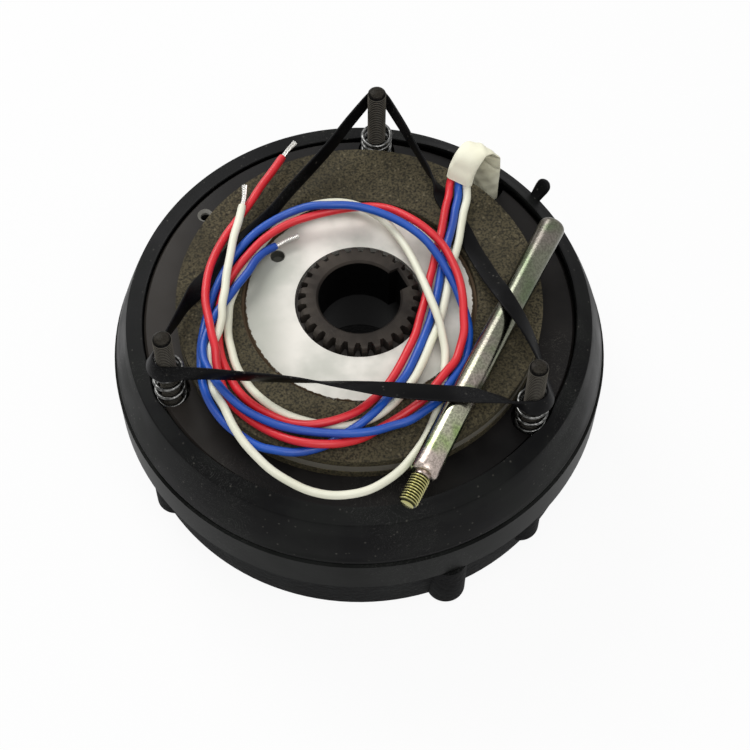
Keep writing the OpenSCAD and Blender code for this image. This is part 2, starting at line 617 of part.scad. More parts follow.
blue_route = [
    [48, 51.5, 7.5], [47.5, 49.5, 5], [47, 45.5, 3.8], [45, 39, 3.8], [43, 31, 4.6], [40.5, 23.5, 5.6],
    [38, 16.5, 4.8], [36, 10, 3], [34, 2.5, 2], [31.5, -6, 2], [28.5, -14.5, 2], [24.5, -23.5, 2],
    [20.5, -31.5, 2], [16, -39.5, 2], [10.5, -47, 3.6], [5, -54, 5.5], [0, -59, 5.7], [-5.5, -63, 5.2],
    [-11.5, -65.5, 3], [-18.5, -69, 2], [-25.5, -71, 2], [-32.5, -71.5, 2], [-39.5, -70, 2],
    [-46.5, -67.5, 2], [-53, -62.5, 2], [-59, -56.5, 2], [-63.5, -49.5, 2], [-66.5, -42, 2], [-68, -34, 2],
    [-68, -26.5, 2], [-67.5, -18.5, 2], [-66, -10.5, 2], [-64, -3, 2], [-62, 4, 2], [-59, 11, 2.2],
    [-55, 18, 3], [-49.5, 25.5, 4.6], [-42.5, 32.5, 5.6], [-35, 38, 5.6], [-26.5, 42, 6],
    [-17.5, 43, 8.4], [-8.5, 42, 9.5], [0, 41, 9.6], [8.5, 38, 9.6], [16.5, 33.5, 9.6], [24, 27.5, 9.6],
    [30, 20.5, 9.6], [34.5, 12.5, 9], [38, 5, 7.2], [40.5, -1.5, 5.6], [42, -8, 5], [43.5, -14.5, 4],
    [44, -21, 2.6], [43, -28, 2], [41, -35, 2.2], [36.5, -42, 3.6], [32, -48.5, 5.4], [28, -54.5, 5.8],
    [21.5, -59.5, 6.4], [15, -63.5, 6.6], [7.5, -65.5, 6.8], [0, -67.5, 7.4], [-8, -68, 7.8],
    [-16, -67, 7.2], [-24, -65.5, 6.8], [-31.5, -63.5, 6.6], [-38.5, -60.5, 6], [-45.5, -56.5, 5.8],
    [-51.5, -52, 5.8], [-56.5, -46.5, 5.9], [-60.5, -41, 6.2], [-64, -34.5, 6.2], [-66.5, -27.5, 5.8],
    [-66.5, -20.5, 5.7], [-64.5, -14, 5.5], [-62, -8.5, 5.6], [-58.5, -3, 5.8], [-55, 1.5, 6],
    [-51, 7, 6], [-46, 13.5, 5.8], [-42.5, 19.5, 5], [-38.5, 24.5, 3.4], [-33.5, 28, 2.2]];
white_route = [
    [51, 49.5, 7.5], [51, 47.5, 5], [50.5, 43.5, 3.8], [48.5, 37.5, 3.8], [46.5, 30, 4], [44.5, 22, 4.4],
    [42, 15, 4], [39.5, 8.5, 2.8], [37.5, 0.5, 2], [35, -8, 2], [32, -16.5, 2], [28, -24.5, 2],
    [24, -33, 2], [19.5, -41, 2], [14, -48, 2], [8.5, -53.5, 2], [2, -58, 2], [-5, -60.5, 2],
    [-12.5, -61.5, 2], [-20, -60, 2], [-27.5, -57.5, 2], [-34.5, -54, 2], [-41, -49, 2],
    [-46.5, -43, 2], [-50.5, -36.5, 2], [-53.5, -29.5, 2], [-55, -22, 2], [-56, -14.5, 2],
    [-55.5, -6.5, 2], [-54.5, 1, 2], [-52, 7.5, 2], [-49, 14, 2], [-44.5, 21, 2], [-40, 28.5, 2],
    [-34.5, 35.5, 2], [-27.5, 42, 2], [-20, 46.5, 2], [-11.5, 48.5, 2], [-2.5, 48, 2], [5.5, 44.5, 2],
    [13, 38, 2.2], [18, 30, 3], [22, 21, 3.6], [25, 11.5, 4.4], [27.5, 1.5, 5.7], [29.5, -7, 6],
    [31.5, -16, 6], [32.5, -23, 4.4], [33, -30.5, 2.6], [32, -38, 2], [30.5, -46, 2], [28.5, -53.5, 2],
    [25, -61.5, 2], [21, -69, 2], [16, -76, 2.2], [10, -82, 1], [3.5, -86, -0.6], [-4, -89, -1.8],
    [-12, -90, -2.4], [-20, -89.5, -2.4], [-28, -87, -2], [-35, -83, -1.2], [-42, -78, 0.4],
    [-47.5, -72.5, 2.6], [-52.5, -66.5, 5.2], [-56.5, -58.5, 5.8], [-59.5, -49.5, 4.4], [-63, -41, 2.4],
    [-64, -33.5, 2], [-64, -26.5, 2.5], [-63, -21, 5], [-60, -15, 5.7], [-58, -9.5, 7.8],
    [-57.5, -4, 9.6], [-56, 3, 9.8], [-55, 10.5, 9.6], [-53, 20, 9.4], [-51, 29.5, 9.2],
    [-48.5, 37.5, 9], [-46.5, 45.5, 8.8]];
red_tip = [[-27.5, 72.5, 5], [-25, 76, 5], [-21.5, 79.5, 5.4]];
blue_tip = [[-33.5, 28, 2.2], [-29, 30.5, 2], [-23.5, 32.5, 2]];
white_tip = [[-46.5, 45.5, 8.8], [-45.5, 50, 8.6], [-45, 56, 8.4]];

module lead_red() color([0.84, 0.16, 0.2]) tube(red_route, lead_d);
module lead_blue() color([0.12, 0.31, 0.74]) tube(blue_route, lead_d);
module lead_white() color([0.88, 0.88, 0.82]) tube(white_route, lead_d);
module strands_red() color([0.7, 0.68, 0.64]) tube(red_tip, strand_d);
module strands_blue() color([0.7, 0.68, 0.64]) tube(blue_tip, strand_d);
module strands_white() color([0.7, 0.68, 0.64]) tube(white_tip, strand_d);

// Each node is drawn on its own when its name is asked for
magnet_body();
coil_bobbin();
coil_winding();
coil_potting();
brake_springs();
pressure_plate();
disc_carrier();
lining_top();
lining_bottom();
hub();
stud_a();
stud_b();
stud_c();
counter_spring_a();
counter_spring_b();
counter_spring_c();
nut_a();
nut_b();
nut_c();
washer_a();
washer_b();
washer_c();
rubber_collar();
rubber_band();
hand_lever();
cable_grommet();
cable_sleeve();
lead_red();
lead_blue();
lead_white();
strands_red();
strands_blue();
strands_white();
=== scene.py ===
# %% [markdown]
# # A motor brake, dressed around its solid model
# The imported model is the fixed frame: every size and place below is read from it or tied to it.
# The pieces are worked out as whole arrays with numpy, and each finish is a node material.

# %% Load the frame
import math

import bpy
import numpy as np
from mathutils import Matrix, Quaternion, Vector


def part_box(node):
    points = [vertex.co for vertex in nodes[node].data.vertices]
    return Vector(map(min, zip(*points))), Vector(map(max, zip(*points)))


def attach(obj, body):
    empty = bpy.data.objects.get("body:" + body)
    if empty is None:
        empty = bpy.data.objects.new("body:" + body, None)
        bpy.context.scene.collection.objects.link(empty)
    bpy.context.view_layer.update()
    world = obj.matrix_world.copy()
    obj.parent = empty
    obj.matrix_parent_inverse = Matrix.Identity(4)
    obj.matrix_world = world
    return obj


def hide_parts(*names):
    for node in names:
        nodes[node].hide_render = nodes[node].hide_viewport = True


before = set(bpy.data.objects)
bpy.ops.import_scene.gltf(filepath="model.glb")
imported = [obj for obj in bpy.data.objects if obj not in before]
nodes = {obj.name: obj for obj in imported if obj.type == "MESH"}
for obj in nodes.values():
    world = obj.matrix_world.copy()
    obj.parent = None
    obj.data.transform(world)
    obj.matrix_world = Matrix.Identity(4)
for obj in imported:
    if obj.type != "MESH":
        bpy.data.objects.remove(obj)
scene = bpy.context.scene
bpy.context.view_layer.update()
MM = 0.001

# %% [markdown]
# ## Driving places
# The friction disc's face is the level that the leads and the band are counted from. The studs,
# the plate and the hub give their own heights by their boxes.

# %% Places read from the frame
disc_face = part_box("lining_top")[1].z
plate_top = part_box("pressure_plate")[1].z
hub_low, hub_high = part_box("hub")
stud_names = ("stud_a", "stud_b", "stud_c")
stud_boxes = [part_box(name) for name in stud_names]
stud_places = [(low + high) / 2 for low, high in stud_boxes]
stud_top = stud_boxes[0][1].z
print("disc face", round(disc_face, 4), "plate", round(plate_top, 4))
print("stud top", round(stud_top, 4), "hub top", round(hub_high.z, 4))

# %% New objects
def new_object(name, data):
    """An object with its data, linked into the scene."""
    item = bpy.data.objects.new(name, data)
    scene.collection.objects.link(item)
    return item


# %% [markdown]
# ## Camera
# The brake is seen from the front and above, at about 60 degrees and a little from the left. The
# lens is long enough that the circles stay near ellipses.

# %% Camera
CAMERA_AT = Vector((-0.0344, -0.4068, disc_face + 0.6563))
CAMERA_TO = Vector((0.0032, -0.0377, disc_face))
CAMERA_ROLL = math.radians(0.7)
CAMERA_LENS, CAMERA_SENSOR = 87.71, 36

camera_data = bpy.data.cameras.new("camera")
camera_data.lens = CAMERA_LENS
camera_data.sensor_width = CAMERA_SENSOR
camera = new_object("camera", camera_data)
camera.location = CAMERA_AT
aim = (CAMERA_TO - CAMERA_AT).to_track_quat("-Z", "Y")
camera.rotation_mode = "QUATERNION"
camera.rotation_quaternion = aim @ Quaternion((0, 0, 1), CAMERA_ROLL)
scene.camera = camera

# %% [markdown]
# ## From arrays to meshes
# Most pieces here are one closed surface over a grid of two parameters. The helper joins the
# grid's last column to its first, closes or caps its ends, and turns the faces outwards by the
# sign of the volume, which is a sum over the faces.

# %% Grid surfaces
def grid_faces(rows, columns, loop_rows):
    """Four corners of each face, for a grid whose columns wrap round and whose rows may."""
    index = np.arange(rows * columns).reshape(rows, columns)
    index = np.hstack([index, index[:, :1]])
    if loop_rows:
        index = np.vstack([index, index[:1]])
    corners = [index[:-1, :-1], index[1:, :-1], index[1:, 1:], index[:-1, 1:]]
    return np.stack(corners, -1).reshape(-1, 4)


def outward(points, quads):
    """True if the faces point outwards: the sum of each face's tetrahedron with the origin."""
    a, b, c, d = (points[quads[:, k]] for k in range(4))
    volume = np.einsum("ij,ij->i", a, np.cross(b, c)) + np.einsum("ij,ij->i", a, np.cross(c, d))
    return volume.sum() > 0


def grid_mesh(name, grids, sharp_angle=40):
    """A mesh of one or more grids. Each is (points, loop_rows), with points as rows, columns, 3."""
    places, loops, sizes, base = [], [], [], 0
    for points, loop_rows in grids:
        rows, columns = points.shape[:2]
        flat = points.reshape(-1, 3)
        quads = grid_faces(rows, columns, loop_rows)
        first = np.arange(columns)
        ends = [] if loop_rows else [first[::-1], (rows - 1) * columns + first]
        if outward(flat - flat.mean(0), quads):
            ends = [end[::-1] for end in ends]
        else:
            quads = quads[:, ::-1]
        places.append(flat)
        loops += [quads.reshape(-1) + base] + [end + base for end in ends]
        sizes += [np.full(len(quads), 4)] + [np.array([len(end)]) for end in ends]
        base += len(flat)
    mesh = bpy.data.meshes.new(name)
    places, loops, sizes = np.concatenate(places), np.concatenate(loops), np.concatenate(sizes)
    mesh.vertices.add(len(places))
    mesh.vertices.foreach_set("co", places.astype(np.float32).ravel())
    mesh.loops.add(len(loops))
    mesh.loops.foreach_set("vertex_index", loops.astype(np.int32))
    mesh.polygons.add(len(sizes))
    mesh.polygons.foreach_set("loop_start", np.r_[0, np.cumsum(sizes)[:-1]].astype(np.int32))
    mesh.polygons.foreach_set("loop_total", sizes.astype(np.int32))
    mesh.polygons.foreach_set("use_smooth", np.ones(len(sizes), bool))
    mesh.update(calc_edges=True)
    mesh.validate()
    mesh.set_sharp_from_angle(angle=math.radians(sharp_angle))
    return mesh


def mark_crest(mesh, values):
    """A number kept at each vertex for the finish to read: 1 on a thread's crest, 0 at its root,
    and -1 on the lever's rod."""
    layer = mesh.attributes.new("crest", "FLOAT", "POINT")
    layer.data.foreach_set("value", np.asarray(values, np.float32).ravel())


def add_piece(name, mesh, material, body, node):
    """A finished piece: its material and slot, the body it rides on and the node it replaces."""
    piece = new_object(name, mesh)
    mesh.materials.append(material)
    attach(piece, body)
    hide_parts(node)
    print(f"{name}: {len(mesh.polygons)} faces")
    return piece


# %% Paths and sections
def smooth_path(points, spacing, closed=False, steps=24):
    """A curve through all the points, resampled at an even spacing. Between two points it is the
    cubic whose slope at each point is half the step between that point's neighbours."""
    p = np.asarray(points, float)
    before = np.roll(p, 1, 0) if closed else np.vstack([2 * p[0] - p[1], p[:-1]])
    after = np.roll(p, -1, 0) if closed else np.vstack([p[1:], 2 * p[-1] - p[-2]])
    slope = (after - before) / 2
    start, end = (p, np.roll(p, -1, 0)) if closed else (p[:-1], p[1:])
    slope_start, slope_end = (slope, np.roll(slope, -1, 0)) if closed else (slope[:-1], slope[1:])
    t = np.linspace(0, 1, steps, endpoint=False)[None, :, None]
    cubic = ((2 * t**3 - 3 * t**2 + 1) * start[:, None]
             + (t**3 - 2 * t**2 + t) * slope_start[:, None]
             + (3 * t**2 - 2 * t**3) * end[:, None] + (t**3 - t**2) * slope_end[:, None])
    fine = np.vstack([cubic.reshape(-1, p.shape[1]), p[:1] if closed else p[-1:]])
    run = np.r_[0, np.cumsum(np.linalg.norm(np.diff(fine[:, :3], axis=0), axis=1))]
    count = max(int(round(run[-1] / spacing)), 2)
    stops = np.linspace(0, run[-1], count + 1)[:-1 if closed else None]
    return np.stack([np.interp(stops, run, column) for column in fine.T], 1), run[-1]


def unit(vectors):
    """Each vector divided by its length."""
    return vectors / np.linalg.norm(vectors, axis=-1, keepdims=True)


def frames(path, closed=False):
    """At each point of a path: the level direction to its right, and the one up from it."""
    step = np.roll(path, -1, 0) - np.roll(path, 1, 0) if closed else np.gradient(path, axis=0)
    along = unit(step)
    right = unit(np.cross(along, [0, 0, 1.0]))
    return right, np.cross(right, along)


def sweep(path, section, right, up):
    """A section carried along a path: its first numbers go right and its second numbers go up."""
    return path[:, None] + section[..., 0:1] * right[:, None] + section[..., 1:2] * up[:, None]


def turned(radius, angle, z):
    """Points about the Z axis by radius, angle and height in millimetres, as metres."""
    parts = np.broadcast_arrays(radius * np.cos(angle), radius * np.sin(angle), z)
    return np.stack(parts, -1) * MM


def turns(sides, shift=0.0):
    """The angles of a full turn in equal steps, the first of them a share of a step from 0."""
    return (np.arange(sides) + shift) * 2 * np.pi / sides


def round_section(width, sides):
    """A circle of the given width in millimetres, as right and up numbers."""
    return width * MM / 2 * np.stack([np.cos(turns(sides)), np.sin(turns(sides))], -1)


def flat_section(width, thickness, sides):
    """A flat tube's section: a circle of its thickness, pulled apart to its width."""
    angle = turns(sides, 0.5)
    across = np.sign(np.cos(angle)) * (width - thickness) / 2 + np.cos(angle) * thickness / 2
    return np.stack([across, np.sin(angle) * thickness / 2], -1) * MM


# %% [markdown]
# ## Colour and finish helpers
# A material is a Principled shader with a few nodes before it. Colours are written as they look
# on a screen and turned to light values. All patterns read Object coordinates, which are metres
# in the frame, so that a grain of 2 mm is a noise of scale 500.

# %% Node helpers
def light(red, green, blue):
    """A screen colour from 0 to 255 as the light value that a shader wants, with alpha 1."""
    share = np.array([red, green, blue]) / 255
    value = np.where(share <= 0.04045, share / 12.92, ((share + 0.055) / 1.055) ** 2.4)
    return (*value, 1)


def feed(tree, socket, value):
    """Links a socket to another one, or sets it to a plain value."""
    if isinstance(value, bpy.types.NodeSocket):
        tree.links.new(value, socket)
    else:
        socket.default_value = value


def put(tree, kind, **values):
    """A node of a kind, with its properties set and its inputs set or linked."""
    node = tree.nodes.new(kind)
    for name, value in values.items():
        if hasattr(node, name):
            setattr(node, name, value)
        else:
            feed(tree, node.inputs[name.replace("_", " ")], value)
    return node


def mix(tree, share, first, second):
    """A colour between two, by a share from 0 to 1. Each may be a colour or a socket."""
    node = put(tree, "ShaderNodeMix", data_type="RGBA")
    for place, value in ((0, share), (6, first), (7, second)):
        feed(tree, node.inputs[place], value)
    return node.outputs[2]


def ramp(tree, source, low, high, out_low=0.0, out_high=1.0):
    """A value that goes smoothly from out_low to out_high as the source goes from low to high."""
    return put(tree, "ShaderNodeMapRange", interpolation_type="SMOOTHSTEP", Value=source,
               From_Min=low, From_Max=high, To_Min=out_low, To_Max=out_high).outputs[0]


def inside(tree, source, edge, fade):
    """1 below an edge, and 0 from a little past it."""
    return ramp(tree, source, edge, edge + fade, 1.0, 0.0)


def calc(tree, operation, first, second=0.0):
    """A sum, product or other operation on two values or sockets."""
    node = put(tree, "ShaderNodeMath", operation=operation)
    feed(tree, node.inputs[0], first)
    feed(tree, node.inputs[1], second)
    return node.outputs[0]


def times(tree, first, second):
    """The product of two values or sockets."""
    return calc(tree, "MULTIPLY", first, second)


# %% Places and patterns
def object_place(tree):
    """The Object coordinates."""
    return put(tree, "ShaderNodeTexCoord").outputs["Object"]


def object_parts(tree):
    """The X, Y and Z parts of the Object coordinates."""
    return put(tree, "ShaderNodeSeparateXYZ", Vector=object_place(tree)).outputs


def about_point(tree, point, reach, fade):
    """1 within reach of a point, and 0 from a little past it."""
    away = put(tree, "ShaderNodeVectorMath", operation="DISTANCE")
    feed(tree, away.inputs[0], object_place(tree))
    feed(tree, away.inputs[1], point)
    return inside(tree, away.outputs["Value"], reach, fade)


def on_circle(radius, turn, height):
    """A point at a distance from the shaft axis, a turn about it and a height."""
    return radius * math.cos(turn), radius * math.sin(turn), height


def noise(tree, place, scale, detail, output="Fac"):
    """A noise at a place."""
    return put(tree, "ShaderNodeTexNoise", Vector=place, Scale=scale, Detail=detail).outputs[output]


def new_group(name, given, results):
    """An empty node group: its tree, the sockets that it is given and those of its results. Its
    inputs are numbers, each with its default."""
    tree = bpy.data.node_groups.new(name, "ShaderNodeTree")
    for label, value in given.items():
        socket = tree.interface.new_socket(label, in_out="INPUT", socket_type="NodeSocketFloat")
        socket.default_value = value
    for label in results:
        tree.interface.new_socket(label, in_out="OUTPUT", socket_type="NodeSocketFloat")
    return tree, tree.nodes.new("NodeGroupInput").outputs, tree.nodes.new("NodeGroupOutput").inputs


def fill(tree, sockets, **values):
    """Feeds the sockets named, with _ for a space."""
    for name, value in values.items():
        feed(tree, sockets[name.replace("_", " ")], value)


# %% [markdown]
# ## Shared effects
# Four effects come back on many pieces, so each is a node group: a fine grain with broad clouds,
# thin scuffs, the distance from the shaft axis with turned rings about it, and specks.

# %% Grain and scuffs
grain_group, given, result = new_group("grain", {"Scale": 800, "Detail": 3}, ["Grain", "Cloud"])
place = object_place(grain_group)
fill(grain_group, result, Grain=noise(grain_group, place, given["Scale"], given["Detail"]),
     Cloud=noise(grain_group, place, 45.0, 4.0))

scuff_group, given, result = new_group("scuffs", {"Scale": 60, "Amount": 0.5}, ["Scuff"])
place = object_place(scuff_group)
bent = noise(scuff_group, place, 30.0, 2.0, "Color")
lines = noise(scuff_group, bent, given["Scale"], 5.0)
from_middle = calc(scuff_group, "ABSOLUTE", calc(scuff_group, "SUBTRACT", lines, 0.5))
thin = inside(scuff_group, from_middle, 0.0, 0.012)
there = ramp(scuff_group, noise(scuff_group, place, 22.0, 1.0), 0.52, 0.62)
scuffed = times(scuff_group, thin, there)
fill(scuff_group, result, Scuff=times(scuff_group, scuffed, given["Amount"]))

# %% Rings about the shaft axis
axis_group, given, result = new_group("about_axis", {"Rings": 1500}, ["Radius", "Height", "Ring"])
parts = object_parts(axis_group)
squares = [times(axis_group, parts[k], parts[k]) for k in (0, 1)]
radius = calc(axis_group, "SQRT", calc(axis_group, "ADD", *squares))
ring_place = put(axis_group, "ShaderNodeCombineXYZ", X=times(axis_group, radius, given["Rings"]),
                 Y=times(axis_group, parts[2], given["Rings"])).outputs[0]
fill(axis_group, result, Radius=radius, Height=parts[2],
     Ring=noise(axis_group, ring_place, 1.0, 2.0))

# %% Specks
speck_group, given, result = new_group("specks", {"Scale": 700, "Size": 0.2}, ["Speck", "Shade"])
place = object_place(speck_group)
cell = put(speck_group, "ShaderNodeTexVoronoi", Vector=place, Scale=given["Scale"]).outputs
shake = times(speck_group, noise(speck_group, place, 900.0, 2.0), 0.35)
speck = put(speck_group, "ShaderNodeMapRange", From_Min=given["Size"], From_Max=0.62, To_Min=1.0,
            To_Max=0.0, Value=calc(speck_group, "ADD", cell["Distance"], shake))
shade = put(speck_group, "ShaderNodeSeparateColor", Color=cell["Color"])
fill(speck_group, result, Speck=speck.outputs[0], Shade=shade.outputs[0])


# %% Material frame
def new_material(name, roughness=0.5, metallic=0.0, specular=0.5):
    """A material, its tree and its Principled shader's sockets."""
    material = bpy.data.materials.new(name)
    material.use_nodes = True
    tree = material.node_tree
    sockets = tree.nodes["Principled BSDF"].inputs
    fill(tree, sockets, Roughness=roughness, Metallic=metallic, Specular_IOR_Level=specular)
    return material, tree, sockets


def use_group(tree, group, **values):
    """A group placed in a material with its own values: returns its outputs by name."""
    return put(tree, "ShaderNodeGroup", node_tree=group, **values).outputs


def bump(tree, height, depth_mm, strength):
    """A normal bent by a height from 0 to 1 that stands for the depth in millimetres."""
    return put(tree, "ShaderNodeBump", Height=height, Strength=strength,
               Distance=depth_mm * MM).outputs[0]


def drift(tree, grain, dark, pale, low=0.3, high=0.7):
    """A colour that drifts between two tones in clouds."""
    return mix(tree, ramp(tree, grain["Cloud"], low, high), dark, pale)


# %% [markdown]
# ## Rubber and painted castings
# The collar is moulded rubber, near black with a soft sheen, dust in patches and thin pale
# scuffs. The body is a painted sand casting: rough below, with a rim that was machined and
# sprayed smooth. One material tells the two apart by height and distance from the axis.

# %% Rubber
def make_rubber(name, base, dusty, roughness):
    """Black rubber: dust in clouds, thin scuffs, a few pale motes and a fine grain."""
    material, tree, sockets = new_material(name, roughness, 0.0, 0.06)
    grain = use_group(tree, grain_group, Scale=1400)
    scuff = use_group(tree, scuff_group, Amount=0.35)
    motes = use_group(tree, speck_group, Scale=760, Size=0.14)
    scuffed = mix(tree, scuff["Scuff"], drift(tree, grain, base, dusty, 0.35), light(96, 96, 94))
    mote = times(tree, motes["Speck"], ramp(tree, motes["Shade"], 0.95, 0.97, 0.0, 0.5))
    fill(tree, sockets, Base_Color=mix(tree, mote, scuffed, light(104, 102, 96)),
         Roughness=ramp(tree, grain["Cloud"], 0.3, 0.7, roughness - 0.08, roughness + 0.1),
         Normal=bump(tree, grain["Grain"], 0.03, 0.35))
    return material


collar_rubber = make_rubber("collar_rubber", light(9, 9, 10), light(23, 24, 23), 0.42)
band_rubber = make_rubber("band_rubber", light(8, 8, 9), light(19, 19, 20), 0.38)

# %% Painted casting
RIM_LOW, RIM_FADE, PASSAGE_R = 32 * MM, 0.4 * MM, 22 * MM


def make_casting():
    """Rough black below the rim, smooth and greyer on the rim, by height above the back face, and
    near black as painted shade in the central passage.
    """
    material, tree, sockets = new_material("black_casting", 0.6, 0.0, 0.02)
    grain = use_group(tree, grain_group, Scale=420, Detail=6)
    axis = use_group(tree, axis_group, Rings=900)
    scuff = use_group(tree, scuff_group, Scale=45, Amount=0.5)
    on_rim = ramp(tree, axis["Height"], RIM_LOW - RIM_FADE, RIM_LOW + RIM_FADE)
    rough_part = drift(tree, grain, light(14, 14, 15), light(27, 28, 28))
    smooth_part = drift(tree, grain, light(16, 17, 16), light(27, 28, 27))
    painted = mix(tree, on_rim, rough_part, smooth_part)
    scuffed = mix(tree, scuff["Scuff"], painted, light(78, 78, 76))
    # Painted shade: the passage round the axis is coloured near black, where little light reaches.
    passage_shade = inside(tree, axis["Radius"], PASSAGE_R + MM, MM)
    sand = times(tree, grain["Grain"], ramp(tree, on_rim, 0, 1, 1.0, 0.05))
    fill(tree, sockets, Base_Color=mix(tree, passage_shade, scuffed, light(4, 4, 4)),
         Roughness=ramp(tree, on_rim, 0, 1, 0.62, 0.36), Normal=bump(tree, sand, 0.45, 0.8))
    return material


black_casting = make_casting()

# %% [markdown]
# ## Steel, aluminium and the lining
# The plate and the hub are dark steel with faint turning. The carrier is near-white aluminium,
# chipped brown where the lining meets it. The lining is pressed from fibres and resin, so it is
# a dull brown-grey with dark pits and a few pale specks.

# %% Dark steel
JACK_R, JACK_SINK_R, JACK_TURNS = 85.5 * MM, 3.3 * MM, np.radians([138, 318])
SHEEN_FROM, SHEEN_TO = -84 * MM, -50 * MM
KEYWAY_R, BORE_MOUTH = 21.4 * MM, hub_high.z - 1.6 * MM


def make_dark_steel(name, dark, pale, roughness, metallic, specular, painted_light_and_marks):
    """Dark turned steel: faint rings about the axis, clouds of oil and a few scuffs. The piece's
    own painted light and marks then give the final colour and roughness."""
    material, tree, sockets = new_material(name, roughness, metallic, specular)
    axis = use_group(tree, axis_group, Rings=2200)
    grain = use_group(tree, grain_group, Scale=900)
    scuff = use_group(tree, scuff_group, Scale=50, Amount=0.35)
    blotch = drift(tree, grain, dark, pale, 0.3, 0.72)
    colour = mix(tree, scuff["Scuff"], blotch, light(100, 98, 92))
    rough = ramp(tree, grain["Cloud"], 0.3, 0.7, roughness - 0.07, roughness + 0.1)
    fill(tree, sockets, Normal=bump(tree, axis["Ring"], 0.02, 0.3),
         **painted_light_and_marks(tree, axis, colour, rough))
    return material


def painted_bore_shade(tree, axis, colour, rough):
    """Painted shade: near black in the hub's bore and keyway, where little light comes."""
    # Painted shade: the bore below its mouth and the keyway are coloured near black and made dull.
    bore = times(tree, inside(tree, axis["Height"], BORE_MOUTH, MM),
                 inside(tree, axis["Radius"], KEYWAY_R, 0.3 * MM))
    return {"Base_Color": mix(tree, bore, colour, light(2, 2, 2)),
            "Roughness": calc(tree, "ADD", rough, times(tree, bore, 0.5)),
            "Metallic": ramp(tree, bore, 0, 1, 0.35, 0.0)}


def plate_sheen_and_cut_rings(tree, axis, colour, rough):
    """A painted sheen, lighter and warmer on the plate's left side, and cut metal in a ring round
    each jack hole.
    """
    # Painted sheen: a lighter warm tone towards the left, standing in for the light's reflection.
    dust = ramp(tree, object_parts(tree)[0], SHEEN_FROM, SHEEN_TO, 0.6, 0.0)
    colour = mix(tree, dust, colour, light(54, 50, 46))
    for turn in JACK_TURNS:
        hole = on_circle(JACK_R, turn, plate_top)
        ring = about_point(tree, hole, JACK_SINK_R - 0.1 * MM, 0.25 * MM)
        colour = mix(tree, ring, colour, light(134, 132, 126))
    return {"Base_Color": colour, "Roughness": rough}


plate_steel = make_dark_steel("plate_steel", light(10, 9, 9), light(25, 23, 22), 0.4, 0.06, 0.12,
                              plate_sheen_and_cut_rings)
hub_steel = make_dark_steel("hub_steel", light(40, 37, 35), light(64, 59, 54), 0.42, 0.3, 0.03,
                            painted_bore_shade)

# %% Aluminium
LINING_INNER, MOUTH_R, DISC_EDGE_R = 50 * MM, 27.2 * MM, 74 * MM
DIMPLE_HALF = 3.5 * MM
DIMPLE_MIDDLE = on_circle(42 * MM, math.radians(142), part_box("disc_carrier")[1].z - DIMPLE_HALF)


def make_aluminium():
    """Satin near-white metal with brown chips inside the lining. Painted shade makes its left side
    greyer and darkens the teeth and the dimple."""
    material, tree, sockets = new_material("carrier_aluminium", 0.5, 0.2, 0.3)
    axis = use_group(tree, axis_group, Rings=1800)
    grain = use_group(tree, grain_group, Scale=520, Detail=5)
    bright = drift(tree, grain, light(184, 184, 175), light(226, 222, 214))
    # Painted shade: the left side is coloured greyer, as where less light falls.
    shaded_left = ramp(tree, object_parts(tree)[0], -44 * MM, -22 * MM, 0.75, 0.0)
    soft = mix(tree, shaded_left, bright, light(150, 152, 142))
    reach = ramp(tree, axis["Radius"], LINING_INNER - 4.2 * MM, LINING_INNER - 0.6 * MM)
    chipped = ramp(tree, calc(tree, "ADD", reach, grain["Grain"]), 1.06, 1.2)
    chip = times(tree, inside(tree, axis["Radius"], LINING_INNER + MM, MM), chipped)
    # Painted shade: the teeth round the mouth are coloured dark grey, where shade falls between
    # them.
    teeth_shade = inside(tree, axis["Radius"], MOUTH_R, 0.3 * MM)
    clean = mix(tree, teeth_shade, soft, light(52, 48, 45))
    edge = ramp(tree, axis["Radius"], DISC_EDGE_R, DISC_EDGE_R + MM)
    dusty = mix(tree, edge, clean, light(122, 118, 108))
    # Painted shade: the inside of the dimple is coloured darker.
    dimple_shade = about_point(tree, DIMPLE_MIDDLE, 4.3 * MM, 0.2 * MM)
    whole = mix(tree, dimple_shade, dusty, light(84, 84, 78))
    fill(tree, sockets, Base_Color=mix(tree, chip, whole, light(86, 70, 52)),
         Roughness=ramp(tree, chip, 0, 1, 0.5, 0.8), Metallic=ramp(tree, chip, 0, 1, 0.2, 0.0),
         Normal=bump(tree, axis["Ring"], 0.015, 0.25))
    return material


carrier_aluminium = make_aluminium()

# %% Friction lining
def make_lining():
    """Brown-grey pressed lining with dark pits and pale specks, dull all over."""
    material, tree, sockets = new_material("friction_lining", 0.72, 0.0, 0.15)
    grain = use_group(tree, grain_group, Scale=1100, Detail=6)
    pits = use_group(tree, speck_group, Scale=540, Size=0.26)
    flakes = use_group(tree, speck_group, Scale=610, Size=0.12)
    ground = drift(tree, grain, light(70, 64, 48), light(86, 79, 60))
    fibres = mix(tree, ramp(tree, grain["Grain"], 0.38, 0.6), light(46, 43, 33), ground)
    dark = times(tree, pits["Speck"], ramp(tree, pits["Shade"], 0.5, 0.6))
    pale = times(tree, flakes["Speck"], ramp(tree, flakes["Shade"], 0.8, 0.9))
    pitted = mix(tree, dark, fibres, light(28, 25, 19))
    fill(tree, sockets, Base_Color=mix(tree, pale, pitted, light(112, 104, 84)),
         Normal=bump(tree, calc(tree, "SUBTRACT", grain["Grain"], dark), 0.1, 0.6))
    return material


friction_lining = make_lining()

# %% [markdown]
# ## Fasteners, springs, lever and leads
# The studs are black with a worn end, the springs are bright drawn wire, and the lever is zinc
# plated with a yellow and green passivation. The leads are plastic, and the sleeve is a creased
# off-white cloth tube.

# %% Threads and springs
def crest_of(tree):
    """The number kept at each vertex of a threaded piece."""
    return put(tree, "ShaderNodeAttribute", attribute_name="crest").outputs["Fac"]


